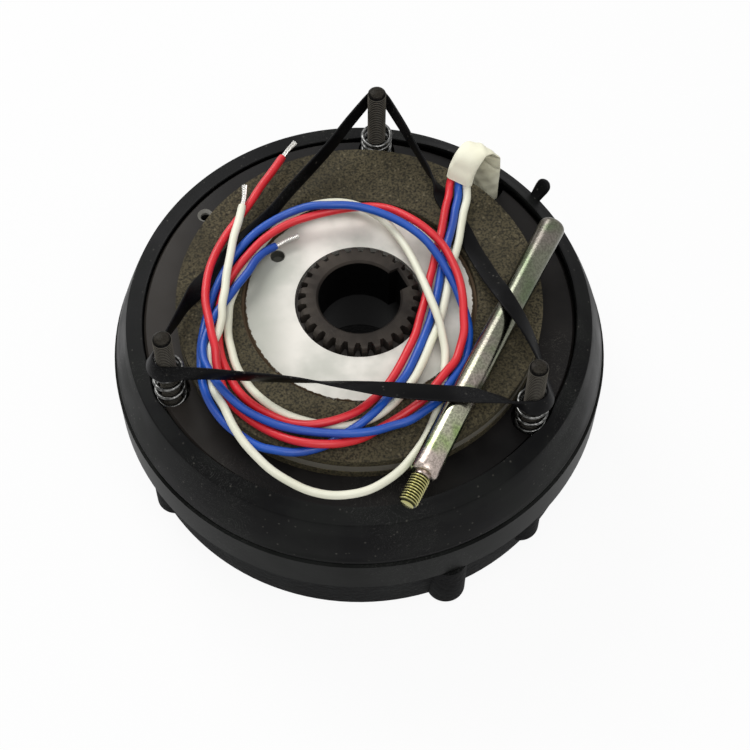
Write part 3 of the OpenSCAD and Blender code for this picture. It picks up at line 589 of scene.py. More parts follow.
def make_thread_black():
    """Black steel with crests lightened partly by rubbing and partly as a painted highlight, worn
    to grey-brown at the end of the stud.
    """
    material, tree, sockets = new_material("stud_black", 0.3, 0.0, 0.03)
    grain = use_group(tree, grain_group, Scale=1600, Detail=4)
    height = calc(tree, "ADD", times(tree, grain["Grain"], 1.6 * MM),
                  use_group(tree, axis_group)["Height"])
    worn = ramp(tree, height, stud_top + 0.1 * MM, stud_top + 1.1 * MM)
    body = mix(tree, ramp(tree, grain["Grain"], 0.3, 0.7), light(3, 3, 3), light(9, 9, 9))
    # Partly wear and partly painted highlight: the crests' light colour stands for rubbing and for
    # light on the thread.
    rubbed_and_highlit = mix(tree, ramp(tree, crest_of(tree), 0.5, 1.0, 0.0, 0.95), body, light(98, 94, 86))
    fill(tree, sockets, Base_Color=mix(tree, worn, rubbed_and_highlit, light(50, 47, 42)))
    return material


def make_wire():
    """Bright drawn spring wire, with grey oil in its dull places."""
    material, tree, sockets = new_material("spring_wire", 0.26, 0.9)
    grain = use_group(tree, grain_group, Scale=700)
    oil = ramp(tree, grain["Grain"], 0.35, 0.7)
    fill(tree, sockets, Base_Color=mix(tree, oil, light(58, 58, 57), light(122, 122, 120)),
         Roughness=ramp(tree, grain["Cloud"], 0.3, 0.7, 0.2, 0.36))
    return material


def make_zinc():
    """Zinc with broad yellow, pink and green tints, darker towards the tip, mottled and scuffed,
    and yellower in its thread, with painted shade in the thread's roots."""
    material, tree, sockets = new_material("zinc_plate", 0.2, 1.0)
    grain = use_group(tree, grain_group, Scale=60, Detail=2)
    mottle = use_group(tree, grain_group, Scale=1100, Detail=5)
    scuff = use_group(tree, scuff_group, Scale=50, Amount=0.5)
    crest = crest_of(tree)
    # The rod goes from a darker tone at its tip to a lighter one towards the screw, along Y.
    toward_screw = ramp(tree, object_parts(tree)[1], -95 * MM, -15 * MM, 1.0, 0.0)
    tip_tone = drift(tree, grain, light(110, 112, 98), light(114, 108, 102), 0.38, 0.62)
    clean = drift(tree, grain, light(182, 184, 158), light(184, 170, 162), 0.38, 0.62)
    green = mix(tree, toward_screw, light(92, 102, 80), light(146, 168, 106))
    plain = mix(tree, toward_screw, tip_tone, clean)
    tinted = mix(tree, ramp(tree, grain["Grain"], 0.48, 0.66), plain, green)
    spots = ramp(tree, mottle["Grain"], 0.38, 0.62, 0.45, 0.0)
    mottled = mix(tree, spots, tinted, light(62, 62, 54))
    rod = mix(tree, scuff["Scuff"], mottled, light(72, 70, 62))
    # Painted shade: the screw's roots are coloured dark, the crests a light yellow.
    screw = mix(tree, ramp(tree, crest, 0.1, 0.9), light(44, 43, 27), light(178, 174, 118))
    fill(tree, sockets, Base_Color=mix(tree, ramp(tree, crest, -0.5, -0.4), rod, screw),
         Roughness=ramp(tree, grain["Cloud"], 0.35, 0.7, 0.18, 0.3),
         Normal=bump(tree, mottle["Grain"], 0.01, 0.3))
    return material


stud_black, spring_wire, zinc_plate = make_thread_black(), make_wire(), make_zinc()

# %% Leads, sleeve and inner pieces
def make_plain(name, dark, pale, roughness, metallic=0.0, grain_scale=900, depth_mm=0.02):
    """A colour that drifts between two tones, with a fine grain."""
    material, tree, sockets = new_material(name, roughness, metallic)
    grain = use_group(tree, grain_group, Scale=grain_scale)
    fill(tree, sockets, Base_Color=drift(tree, grain, light(*dark), light(*pale)),
         Roughness=ramp(tree, grain["Grain"], 0.3, 0.7, roughness - 0.05, roughness + 0.07),
         Normal=bump(tree, grain["Grain"], depth_mm, 0.3))
    return material


lead_looks = {
    "red": make_plain("lead_red", (196, 20, 32), (214, 34, 46), 0.4),
    "blue": make_plain("lead_blue", (0, 60, 150), (2, 76, 172), 0.4),
    "white": make_plain("lead_white", (222, 221, 200), (234, 233, 214), 0.42),
}
tinned = make_plain("tinned_strands", (196, 194, 188), (236, 234, 230), 0.28, 0.75)
sleeve_cloth = make_plain("sleeve_cloth", (238, 235, 208), (248, 246, 224), 0.7, 0.0, 260, 0.15)
nut_grey = make_plain("nut_grey", (92, 92, 90), (122, 122, 118), 0.4, 0.7)
inner_looks = {
    "coil_bobbin": make_plain("bobbin_plastic", (212, 206, 186), (224, 218, 198), 0.5),
    "coil_winding": make_plain("copper_wire", (176, 104, 50), (200, 126, 70), 0.35, 0.7, 1600),
    "coil_potting": make_plain("potting_resin", (44, 40, 38), (56, 52, 48), 0.4),
    "cable_grommet": make_plain("grommet_rubber", (34, 34, 35), (46, 46, 47), 0.6),
}

# %% [markdown]
# ## The solid pieces that stay
# The castings, plate, carrier, linings, nuts and inner pieces keep their own solids, which
# already have the right shape. They only get their finish.

# %% Finishes for the solids
finishes = {"magnet_body": black_casting, "pressure_plate": plate_steel,
            "disc_carrier": carrier_aluminium, "lining_top": friction_lining,
            "lining_bottom": friction_lining, "brake_springs": spring_wire, **inner_looks}
for letter in "abc":
    finishes["nut_" + letter] = finishes["washer_" + letter] = nut_grey
for name, material in finishes.items():
    nodes[name].data.materials.clear()
    nodes[name].data.materials.append(material)
print("finished solids", len(finishes))

# %% [markdown]
# ## Leads
# Each lead is a limp plastic wire of 3.5 mm. It leaves the sleeve's mouth, makes nearly two turns
# on the friction disc, over and under the others, and ends in bare tinned strands. The route is
# the solid model's own list of points, in millimetres, with heights above the disc's face.

# %% Lead routes
LEAD_WIDTH = 3.5
red_route = [
    (45, 53.5, 7.5), (44, 51.5, 5), (43, 46.5, 3.8), (41, 40.5, 3.8), (39, 32.5, 4.6),
    (37, 25, 5.6), (34.5, 18, 4.8), (32.5, 11.5, 3), (30, 4.5, 2), (27.5, -4, 2), (24.5, -12.5, 2),
    (21.5, -21, 2), (17, -29.5, 2), (12, -38, 2), (6.5, -45.5, 2.2), (0.5, -51.5, 3.4),
    (-5.5, -56.5, 5), (-12, -59.5, 5.7), (-19, -61, 5.7), (-26.5, -61, 5), (-34, -58.5, 3.6),
    (-41.5, -53.5, 2.4), (-48.5, -47.5, 2), (-53.5, -41, 2), (-56.5, -34, 2), (-59, -26.5, 2),
    (-60, -19, 2), (-60, -11.5, 2), (-59.5, -4, 2), (-58, 3, 2.2), (-55.5, 9.5, 3.2),
    (-52, 14.5, 4.6), (-46.5, 21, 5.7), (-38.5, 29.5, 5.7), (-28.5, 36, 5.7), (-18, 39.5, 5.7),
    (-8, 41.5, 5.7), (1, 42.5, 5.7), (10.5, 42, 6), (18, 38.5, 7.4), (26, 31.5, 9.2),
    (32, 25, 9.4), (37, 17.5, 9.4), (40, 9, 9.6), (42, 0, 9.6), (42.5, -9, 9.4), (42, -17, 8),
    (41.5, -23.5, 6.2), (39.5, -29.5, 4.8), (36.5, -36.5, 4.8), (32, -42, 5.9), (27, -48, 6.2),
    (22, -53.5, 5.7), (15.5, -57.5, 4.2), (9.5, -60.5, 2.8), (2.5, -64, 2.2), (-4, -67.5, 2.6),
    (-11, -70, 4.4), (-18, -71, 5.8), (-25.5, -70, 5.8), (-32.5, -67.5, 4.8), (-39, -63.5, 3.2),
    (-45.5, -58.5, 2.2), (-51.5, -53, 2), (-56, -47.5, 2), (-59, -41, 2.2), (-60.5, -35, 3.4),
    (-61.5, -29.5, 5.6), (-61.5, -24, 8.2), (-62.5, -18, 9.2), (-63.5, -10, 9), (-64.5, -0.5, 7),
    (-64, 8, 5.8), (-62, 17, 5.8), (-58.5, 25.5, 5.8), (-54, 33.5, 5.6), (-48.5, 41.5, 5.2),
    (-43, 49.5, 5), (-38, 57.5, 5), (-33, 64.5, 5), (-27.5, 72.5, 5)]
blue_route = [
    (48, 51.5, 7.5), (47.5, 49.5, 5), (47, 45.5, 3.8), (45, 39, 3.8), (43, 31, 4.6),
    (40.5, 23.5, 5.6), (38, 16.5, 4.8), (36, 10, 3), (34, 2.5, 2), (31.5, -6, 2), (28.5, -14.5, 2),
    (24.5, -23.5, 2), (20.5, -31.5, 2), (16, -39.5, 2), (10.5, -47, 3.6), (5, -54, 5.5),
    (0, -59, 5.7), (-5.5, -63, 5.2), (-11.5, -65.5, 3), (-18.5, -69, 2), (-25.5, -71, 2),
    (-32.5, -71.5, 2), (-39.5, -70, 2), (-46.5, -67.5, 2), (-53, -62.5, 2), (-59, -56.5, 2),
    (-63.5, -49.5, 2), (-66.5, -42, 2), (-68, -34, 2), (-68, -26.5, 2), (-67.5, -18.5, 2),
    (-66, -10.5, 2), (-64, -3, 2), (-62, 4, 2), (-59, 11, 2.2), (-55, 18, 3), (-49.5, 25.5, 4.6),
    (-42.5, 32.5, 5.6), (-35, 38, 5.6), (-26.5, 42, 6), (-17.5, 43, 8.4), (-8.5, 42, 9.5),
    (0, 41, 9.6), (8.5, 38, 9.6), (16.5, 33.5, 9.6), (24, 27.5, 9.6), (30, 20.5, 9.6),
    (34.5, 12.5, 9), (38, 5, 7.2), (40.5, -1.5, 5.6), (42, -8, 5), (43.5, -14.5, 4),
    (44, -21, 2.6), (43, -28, 2), (41, -35, 2.2), (36.5, -42, 3.6), (32, -48.5, 5.4),
    (28, -54.5, 5.8), (21.5, -59.5, 6.4), (15, -63.5, 6.6), (7.5, -65.5, 6.8), (0, -67.5, 7.4),
    (-8, -68, 7.8), (-16, -67, 7.2), (-24, -65.5, 6.8), (-31.5, -63.5, 6.6), (-38.5, -60.5, 6),
    (-45.5, -56.5, 5.8), (-51.5, -52, 5.8), (-56.5, -46.5, 5.9), (-60.5, -41, 6.2),
    (-64, -34.5, 6.2), (-66.5, -27.5, 5.8), (-66.5, -20.5, 5.7), (-64.5, -14, 5.5),
    (-62, -8.5, 5.6), (-58.5, -3, 5.8), (-55, 1.5, 6), (-51, 7, 6), (-46, 13.5, 5.8),
    (-42.5, 19.5, 5), (-38.5, 24.5, 3.4), (-33.5, 28, 2.2)]
white_route = [
    (51, 49.5, 7.5), (51, 47.5, 5), (50.5, 43.5, 3.8), (48.5, 37.5, 3.8), (46.5, 30, 4),
    (44.5, 22, 4.4), (42, 15, 4), (39.5, 8.5, 2.8), (37.5, 0.5, 2), (35, -8, 2), (32, -16.5, 2),
    (28, -24.5, 2), (24, -33, 2), (19.5, -41, 2), (14, -48, 2), (8.5, -53.5, 2), (2, -58, 2),
    (-5, -60.5, 2), (-12.5, -61.5, 2), (-20, -60, 2), (-27.5, -57.5, 2), (-34.5, -54, 2),
    (-41, -49, 2), (-46.5, -43, 2), (-50.5, -36.5, 2), (-53.5, -29.5, 2), (-55, -22, 2),
    (-56, -14.5, 2), (-55.5, -6.5, 2), (-54.5, 1, 2), (-52, 7.5, 2), (-49, 14, 2), (-44.5, 21, 2),
    (-40, 28.5, 2), (-34.5, 35.5, 2), (-27.5, 42, 2), (-20, 46.5, 2), (-11.5, 48.5, 2),
    (-2.5, 48, 2), (5.5, 44.5, 2), (13, 38, 2.2), (18, 30, 3), (22, 21, 3.6), (25, 11.5, 4.4),
    (27.5, 1.5, 5.7), (29.5, -7, 6), (31.5, -16, 6), (32.5, -23, 4.4), (33, -30.5, 2.6),
    (32, -38, 2), (30.5, -46, 2), (28.5, -53.5, 2), (25, -61.5, 2), (21, -69, 2), (16, -76, 2.2),
    (10, -82, 1), (3.5, -86, -0.6), (-4, -89, -1.8), (-12, -90, -2.4), (-20, -89.5, -2.4),
    (-28, -87, -2), (-35, -83, -1.2), (-42, -78, 0.4), (-47.5, -72.5, 2.6), (-52.5, -66.5, 5.2),
    (-56.5, -58.5, 5.8), (-59.5, -49.5, 4.4), (-63, -41, 2.4), (-64, -33.5, 2), (-64, -26.5, 2.5),
    (-63, -21, 5), (-60, -15, 5.7), (-58, -9.5, 7.8), (-57.5, -4, 9.6), (-56, 3, 9.8),
    (-55, 10.5, 9.6), (-53, 20, 9.4), (-51, 29.5, 9.2), (-48.5, 37.5, 9), (-46.5, 45.5, 8.8)]
red_tip = [(-27.5, 72.5, 5), (-25, 76, 5), (-21.5, 79.5, 5.4)]
blue_tip = [(-33.5, 28, 2.2), (-29, 30.5, 2), (-23.5, 32.5, 2)]
white_tip = [(-46.5, 45.5, 8.8), (-45.5, 50, 8.6), (-45, 56, 8.4)]
lead_lines = {"red": (red_route, red_tip), "blue": (blue_route, blue_tip),
              "white": (white_route, white_tip)}


def on_disc(points):
    """Points in millimetres above the disc's face, as metres in the frame."""
    return np.asarray(points, float) * MM + [0, 0, disc_face]


# %% Leads and their strands
STRAND_WIDTH, STRAND_TWIST = 0.62, 7.5
LEAD_SIDES, STRAND_SIDES = 20, 8
LEAD_STEP, STRAND_STEP = 1.6 * MM, 0.5 * MM
IN_SLEEVE = (1.4, 1.9, 5.2)
CUT_END = 0.9


def lead_mesh(name, path):
    """A round tube along the path whose last ring closes in a little, as a cut end does."""
    size = np.ones(len(path))
    size[-1] = CUT_END
    section = round_section(LEAD_WIDTH, LEAD_SIDES)[None] * size[:, None, None]
    return grid_mesh(name, [(sweep(path, section, *frames(path)), False)])


def strands_mesh(name, path):
    """Seven thin wires, six of them wound round the seventh, that open out towards the end."""
    right, up = frames(path)
    run = np.linspace(0, 1, len(path))
    length = np.linalg.norm(np.diff(path, axis=0), axis=1).sum()
    section = round_section(STRAND_WIDTH, STRAND_SIDES)
    grids = []
    for wire in range(7):
        spread = 0 if wire == 6 else STRAND_WIDTH * MM * (1.02 + 0.55 * run**3)
        turn = 2 * np.pi * (wire / 6 + run * length / (STRAND_TWIST * MM))
        across, rise = (spread * np.cos(turn))[:, None], (spread * np.sin(turn))[:, None]
        grids.append((sweep(path + across * right + rise * up, section, right, up), False))
    return grid_mesh(name, grids)


for colour, (route, tip) in lead_lines.items():
    start = tuple(np.array(route[0]) + IN_SLEEVE)
    path, length = smooth_path(on_disc([start] + route), LEAD_STEP)
    strands_path, strands_length = smooth_path(on_disc(tip), STRAND_STEP)
    strands = add_piece(f"{colour}_strands", strands_mesh(f"{colour}_strands", strands_path),
                        tinned, "magnet", f"strands_{colour}")
    lead = add_piece(f"{colour}_lead", lead_mesh(f"{colour}_lead", path), lead_looks[colour],
                     "magnet", f"lead_{colour}")
    print(colour, "lead", round(length / MM), "mm and strands", round(strands_length / MM), "mm")

# %% [markdown]
# ## Sleeve
# The sleeve is a flattened tube of insulating cloth. It stands up out of the cable hole, folds
# over and ends in an open mouth. It is one closed surface: down the outside to the mouth, round
# the thin lip, and back up the inside.

# %% Sleeve
SLEEVE_W, SLEEVE_T, SLEEVE_WALL, SLEEVE_SIDES = 12.0, 4.6, 0.35, 64
SLEEVE_STEP, SLEEVE_TURN = 0.6 * MM, math.radians(-33)
OPEN_FROM, OPEN_OVER = 0.72, 0.2
PRESS_AT, PRESS_SPAN, PRESS_DEPTH = 0.58, 0.14, 0.5
DENTS, DENT_SPAN = ((0.55, 0.6, 0.03), (0.4, 0.7, -0.04), (0.35, 0.5, 0.05)), 0.018
sleeve_route = [(61.9, 61.9, -26.3), (62, 62, -13), (62, 62, 0), (61.5, 61.5, 10), (59, 60.5, 16.5),
                (55.5, 58.5, 19.5), (52, 55.5, 18), (49.5, 53.5, 13), (48, 51.5, 7.5)]


def folded_section(width, thickness, sides):
    """A tube pressed flat: the height is the sine of the angle to the power 1.3, so that both
    edges come to a fold."""
    angle = turns(sides, 0.5)
    height = np.sign(np.sin(angle)) * np.abs(np.sin(angle)) ** 1.3
    return np.stack([np.cos(angle) * width / 2, height * thickness / 2], -1) * MM


def sleeve_mesh(name):
    """The outside rings from base to mouth, then the inside rings back. Slow waves crease both,
    and sharp dents across the top are where the sleeve was folded over."""
    path, _ = smooth_path(on_disc(sleeve_route), SLEEVE_STEP)
    across = np.array([math.cos(SLEEVE_TURN), math.sin(SLEEVE_TURN), 0])
    along = unit(np.gradient(path, axis=0))
    right = unit(across - (along @ across)[:, None] * along)
    run = np.linspace(0, 1, len(path))[:, None]
    opened = np.clip((run - OPEN_FROM) / OPEN_OVER, 0, 1)[..., None]
    press = 1 - PRESS_DEPTH * np.exp(-((run - PRESS_AT) / PRESS_SPAN) ** 2)
    rings = []
    for inset in (0, SLEEVE_WALL):
        size = SLEEVE_W - 2 * inset, SLEEVE_T - 2 * inset, SLEEVE_SIDES
        section = (1 - opened) * folded_section(*size) + opened * flat_section(*size)
        x = section[..., 0] / (SLEEVE_W * MM / 2)
        crease = (0.2 * np.sin(26 * run + 3.5 * x) * np.sin(9 * run + 2.2)
                  + 0.1 * np.sin(61 * run - 5 * x)) * MM
        dents = sum(depth * np.exp(-((run - place + slant * x) / DENT_SPAN) ** 2)
                    for depth, place, slant in DENTS) * MM
        bent = np.stack([section[..., 0], section[..., 1] * press + crease - dents], -1)
        rings.append(sweep(path, bent, right, np.cross(right, along)))
    return grid_mesh(name, [(np.concatenate([rings[0], rings[1][::-1]]), True)], 50)


add_piece("sleeve", sleeve_mesh("sleeve"), sleeve_cloth, "magnet", "cable_sleeve")

# %% [markdown]
# ## Rubber band
# A flat rubber band goes once round the three studs. It stands on its edge at a stud and turns
# flat between them, so each point carries a lean: 0 is on edge, 90 is flat with its upper edge
# turned in, and -90 is flat with its upper edge turned out. The section has rounded corners. Its
# left run lies up to 2.3 mm from the solid's, nearer to where the photograph shows it.

# %% Band
BAND_W, BAND_T, BAND_SIDES, BAND_STEP = 7.5, 1.0, 20, 1.5 * MM
BAND_GAP, BAND_LEAN, BAND_TOP, TOP_LEAN = 0.4, 25, 18.5, -8
STUD_R, SHANK_R = 4.0, 3.6
band_left = [
    (2, 80.3, 15.2, -12), (-6, 71.8, 12.2, -12), (-15.7, 62.7, 8.9, -12), (-25.5, 53.6, 6, -12),
    (-34, 44.3, 4.2, -15), (-41.8, 36.2, 3.4, -35), (-49.8, 28.7, 1.9, -70),
    (-58.1, 20.6, 0.9, -90), (-66, 11.6, 1.7, -75), (-72.5, 1.5, 4.2, -20), (-77.5, -8.5, 6.4, -5),
    (-82.5, -18, 9, 10)]
band_front = [
    (-74, -37, 12, 15), (-64, -38.5, 12.6, 5), (-50, -41, 13, -3), (-30, -44.5, 13.2, -15),
    (-10, -48.5, 13, -50), (10, -52.5, 12.8, -85), (24, -55, 12.9, -90), (34, -56.5, 12.9, -90),
    (40, -57.5, 12.9, -85), (47, -59, 12.4, -62), (56, -60.5, 10.5, -35)]
band_right = [
    (70.5, -43, 9.5, 25), (67.5, -32, 12, 45), (64, -23, 13.4, 62), (61, -16, 13.4, 78),
    (58, -8.5, 12.4, 90), (55.5, 0, 8.5, 90), (53, 9.5, 5, 90), (50.5, 19, 2.2, 82),
    (48, 28, 0.9, 88), (45.5, 35.5, 0.9, 90), (42.5, 43, 1, 90), (41, 46.5, 1.2, 88),
    (39.6, 49.8, 2, 70), (38, 53.5, 4, 28), (35.5, 59.5, 5, 5), (31, 68.5, 8.5, 2),
    (26, 77.5, 13.5, -6)]


def band_wrap(stud, first, last, height, lean):
    """Points round a stud between two angles, just clear of it for the band's lean."""
    angle = np.radians(np.linspace(first, last, 6))
    reach = STUD_R + BAND_GAP + BAND_T / 2 + BAND_W / 2 * abs(math.sin(math.radians(lean)))
    centre = stud_places[stud]
    return [(centre.x / MM + reach * math.cos(a), centre.y / MM + reach * math.sin(a), height, lean)
            for a in angle]


def on_spring(name):
    """Height of the band's middle where its lower edge rests on a counter spring."""
    rest = (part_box(name)[1].z - disc_face) / MM + 0.3
    return rest + BAND_W / 2 * math.cos(math.radians(BAND_LEAN))


def band_mesh(name):
    """A closed loop of rounded strips, each turned about the path by its lean."""
    points = np.array(
        band_wrap(0, 32, 134, BAND_TOP, TOP_LEAN) + band_left
        + band_wrap(1, 155, 260, on_spring("counter_spring_b"), BAND_LEAN) + band_front
        + band_wrap(2, 260, 376, on_spring("counter_spring_c"), BAND_LEAN) + band_right)
    scaled = np.hstack([on_disc(points[:, :3]), points[:, 3:]])
    path, length = smooth_path(scaled, BAND_STEP, closed=True)
    lean = np.radians(path[:, 3:])
    right, up = frames(path[:, :3], closed=True)
    wide = np.cos(lean) * up - np.sin(lean) * right
    thick = np.cos(lean) * right + np.sin(lean) * up
    section = flat_section(BAND_W, BAND_T, BAND_SIDES)
    print("band", round(length / MM), "mm round")
    return grid_mesh(name, [(sweep(path[:, :3], section, wide, thick), True)], 60)


add_piece("band", band_mesh("band"), band_rubber, "magnet", "rubber_band")

# %% [markdown]
# ## Threads, studs and the hand lever
# A thread is a surface of revolution whose radius falls and rises as a helix passes: at each
# height and angle, the phase is the height in pitches less the angle in turns. Flat crests and
# roots are the clipped middle of a triangle wave.

# %% Threaded studs
PITCH, THREAD_DEPTH = 1.25, 0.7
STUD_SIDES, STUD_LOW_R, STUD_HIGH_R, PLAIN_TOP = 40, 2.4, 2.9, 18


def thread_cut(height_mm, angle):
    """How deep the thread cuts, from 0 at a crest to the full depth, for heights and angles."""
    phase = (height_mm / PITCH - angle / (2 * np.pi)) % 1
    return np.clip(np.abs(2 * phase - 1) * 1.5 - 0.25, 0, 1) * THREAD_DEPTH


def crest_share(radius, whole):
    """1 on a thread's crest and 0 at its root, by the radius."""
    return np.clip((radius - whole + THREAD_DEPTH) / THREAD_DEPTH, 0, 1)


def stud_mesh(name, low, high, x, y):
    """A stud: bevelled at both ends, plain in the magnet and threaded above the plate. The plain
    part has the thread's middle diameter, as on a rolled thread."""
    length = (high - low) / MM
    plain = (plate_top - low) / MM - PLAIN_TOP
    z = np.r_[0, 1.2, plain - 0.01, np.arange(plain, length, PITCH / 12), length][:, None]
    angle = turns(STUD_SIDES)
    ends = np.minimum(STUD_LOW_R + z, STUD_HIGH_R + (length - z))
    whole = np.minimum(np.where(z < plain, SHANK_R, STUD_R), ends)
    radius = np.minimum(whole, STUD_R - thread_cut(z, angle) * (z >= plain))
    mesh = grid_mesh(name, [(turned(radius, angle, z) + [x, y, low], False)], 60)
    mark_crest(mesh, crest_share(radius, STUD_R))
    return mesh


for name, (low, high), place in zip(stud_names, stud_boxes, stud_places):
    add_piece(f"threaded_{name}", stud_mesh(name, low.z, high.z, place.x, place.y), stud_black,
              "magnet", name)

# %% Hand lever
LEVER_TIP, LEVER_DIRECTION, LEVER_SIDES = (86.0, 26.5), math.radians(-120.9), 72
LEVER_L, LEVER_R, LEVER_THREAD, ROD_FROM, ROD_RINGS = 133.0, 5.75, 15.0, 4, 60
TIP_ROUND, SHOULDER, NECK_R, NECK_L = 2.6, 0.8, 3.3, 1.4
SCREW_R, SCREW_END_R, CENTRE_R = 4.0, 2.8, 0.4
lever_low, lever_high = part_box("hand_lever")


def lever_profile():
    """Distances along the rod and radii: a rounded tip, the rod, a bevelled shoulder, the neck
    and the screw. Both ends stop at a small radius, which the mesh caps."""
    turn = np.linspace(0, np.pi / 2, 10)
    tip = np.stack([TIP_ROUND * (1 - np.cos(turn)), LEVER_R - TIP_ROUND * (1 - np.sin(turn))], 1)
    along = np.linspace(ROD_FROM, LEVER_L - SHOULDER, ROD_RINGS)
    rod = np.stack([along, np.full(ROD_RINGS, LEVER_R)], 1)
    shoulder = [[LEVER_L, LEVER_R - SHOULDER], [LEVER_L, NECK_R], [LEVER_L + NECK_L - 0.1, NECK_R]]
    start, end = LEVER_L + NECK_L, LEVER_L + LEVER_THREAD
    run = np.arange(start, end - 0.05, PITCH / 14)
    bevelled = np.minimum(np.minimum(NECK_R + run - start, SCREW_R), SCREW_END_R + end - run)
    screw = np.stack([run, bevelled], 1)
    last = [[end, SCREW_END_R], [end, CENTRE_R]]
    return np.vstack([[[0, CENTRE_R]], tip, rod, shoulder, screw, last])


def lever_mesh(name):
    """The profile turned about the rod's axis, with its screw cut, laid on its side."""
    profile = lever_profile()
    along, whole = profile[:, :1], profile[:, 1:]
    angle = turns(LEVER_SIDES)
    on_thread = along > LEVER_L + NECK_L - 0.05
    cut = np.minimum(whole, SCREW_R - thread_cut(along, angle))
    radius = np.where(on_thread & (whole > 1), cut, whole)
    along = np.broadcast_to(along, radius.shape)
    points = np.stack([along, radius * np.sin(angle), radius * np.cos(angle)], -1) * MM
    c, s = math.cos(LEVER_DIRECTION), math.sin(LEVER_DIRECTION)
    lay = np.array([[c, s, 0], [-s, c, 0], [0, 0, 1]])
    centre = [LEVER_TIP[0] * MM, LEVER_TIP[1] * MM, (lever_low.z + lever_high.z) / 2]
    mesh = grid_mesh(name, [(points @ lay + centre, False)], 60)
    crest = crest_share(radius, SCREW_R)
    crest[-2:] = 0.8
    mark_crest(mesh, np.where(on_thread, crest, -1))
    return mesh


add_piece("lever", lever_mesh("lever"), zinc_plate, "magnet", "hand_lever")

# %% [markdown]
# ## Counter springs
# Each counter spring is a helix of round wire with its last turn closed up at both ends. Its
# height rises slowly over the first turn, evenly over the free turns, and slowly again at the end.

# %% Counter springs
WIRE, WIRE_SIDES, SPRING_D, TURNS, TURN_STEPS = 1.7, 12, 14.0, 5, 48


def spring_mesh(name, low, high, x, y, turn0):
    """A round wire whose centre climbs one wire in each end turn and the rest between them."""
    t = np.linspace(0, TURNS, TURNS * TURN_STEPS + 1)
    tall = (high - low) / MM
    free = tall - 3 * WIRE
    climb = np.interp(t, [0, 1, TURNS - 1, TURNS], [0, WIRE, WIRE + free, tall - WIRE])
    angle = 2 * np.pi * t + turn0
    r = (SPRING_D - WIRE) / 2
    path = turned(r, angle, climb + WIRE / 2)
    section = round_section(WIRE, WIRE_SIDES)
    return grid_mesh(name, [(sweep(path, section, *frames(path)) + [x, y, low], False)])


for number, (letter, place) in enumerate(zip("abc", stud_places)):
    low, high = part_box(f"counter_spring_{letter}")
    turn0 = math.radians(80 + 180 * number)
    mesh = spring_mesh(f"spring_{letter}", low.z, high.z, place.x, place.y, turn0)
    add_piece(f"wire_spring_{letter}", mesh, spring_wire, "armature",
              f"counter_spring_{letter}")

# %% [markdown]
# ## Hub
# The hub is one closed surface: at each angle about the axis, a section runs up the bore, over
# the bevel and the front face, round the rounded ends of the teeth and down the outside. The
# bore's radius opens to the keyway's floor and sides, and the outside follows the teeth.

# %% Hub
TEETH, TIP_R, TOOTH_H, TOOTH_SHARE, TOOTH_STEPS = 28, 26.0, 3.4, 0.17, 24
BORE_R, KEY_W, KEY_FLOOR, KEY_ANGLE = 17.5, 10.0, 20.8, math.radians(23)
BORE_BEVEL, END_ROUND_R, END_ROUND_H = 0.9, 2.4, 2.6


def tooth_radius(angle):
    """The tip's radius over a third of each pitch, the root's over a third, and slopes between."""
    phase = np.abs((angle * TEETH / (2 * np.pi) + 0.5) % 1 - 0.5)
    share = np.clip((phase - TOOTH_SHARE) / TOOTH_SHARE, 0, 1)
    return TIP_R - TOOTH_H * share**1.15


def bore_radius(angle):
    """The bore, or the keyway where it reaches further: its floor is a line, as is each side."""
    off = (angle - KEY_ANGLE + np.pi) % (2 * np.pi) - np.pi
    floor = KEY_FLOOR / np.maximum(np.cos(off), 0.2)
    side = KEY_W / 2 / np.maximum(np.abs(np.sin(off)), 1e-6)
    ahead = np.cos(off) > 0
    return np.where(ahead, np.maximum(BORE_R, np.minimum(floor, side)), BORE_R)


def hub_mesh(name):
    """Rings from the bore's lower edge, up, over, down the outside and back underneath."""
    corner, mouth = math.atan(KEY_W / 2 / KEY_FLOOR), math.asin(KEY_W / 2 / BORE_R)
    special = KEY_ANGLE + np.array([corner, -corner, mouth, -mouth, mouth + 0.002, -mouth - 0.002])
    angle = np.unique(np.r_[turns(TEETH * TOOTH_STEPS), special])
    inner, outer = bore_radius(angle), tooth_radius(angle)
    low, high = hub_low.z / MM, hub_high.z / MM
    fall = np.linspace(0, 1, 9)
    reach = TIP_R - END_ROUND_R + END_ROUND_R * np.sqrt(1 - (1 - fall) ** 2)
    ends = [(np.minimum(outer, r), END_ROUND_H * f) for r, f in zip(reach, fall)]
    rings = [(inner, low + BORE_BEVEL), (inner, high - BORE_BEVEL), (inner + BORE_BEVEL, high)]
    rings += [(r, high - drop) for r, drop in ends] + [(r, low + drop) for r, drop in ends[::-1]]
    rings += [(inner + BORE_BEVEL, low)]
    points = np.stack([turned(r, angle, z) for r, z in rings])
    return grid_mesh(name, [(points, True)], 35)


add_piece("splined_hub", hub_mesh("splined_hub"), hub_steel, "hub", "hub")

# %% [markdown]
# ## Rubber collar
# The collar is turned from one profile: a sloping lip over the plate's edge, a rounded crest, a
# swelling skirt with a crease above the foot, and a hollow back that the skirt leaves. The pull
# tab is a small tongue with rounded edges that rises from the crest.

# %% Collar
LIP_R, CREST_R, FOOT_R, GRIP_R, COLLAR_SIDES = 92.9, 100.0, 106.3, 98.2, 360
CREST_DROP, COLLAR_STEP = 4, 0.45
LOW_LIP, LIP_FALL = math.radians(145), 3.5
SPRING_PUSH, SPRING_SPAN = 1.5, math.radians(4.5)
collar_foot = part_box("rubber_collar")[0].z / MM
collar_top = plate_top / MM + CREST_DROP
collar_crest = collar_top - CREST_DROP


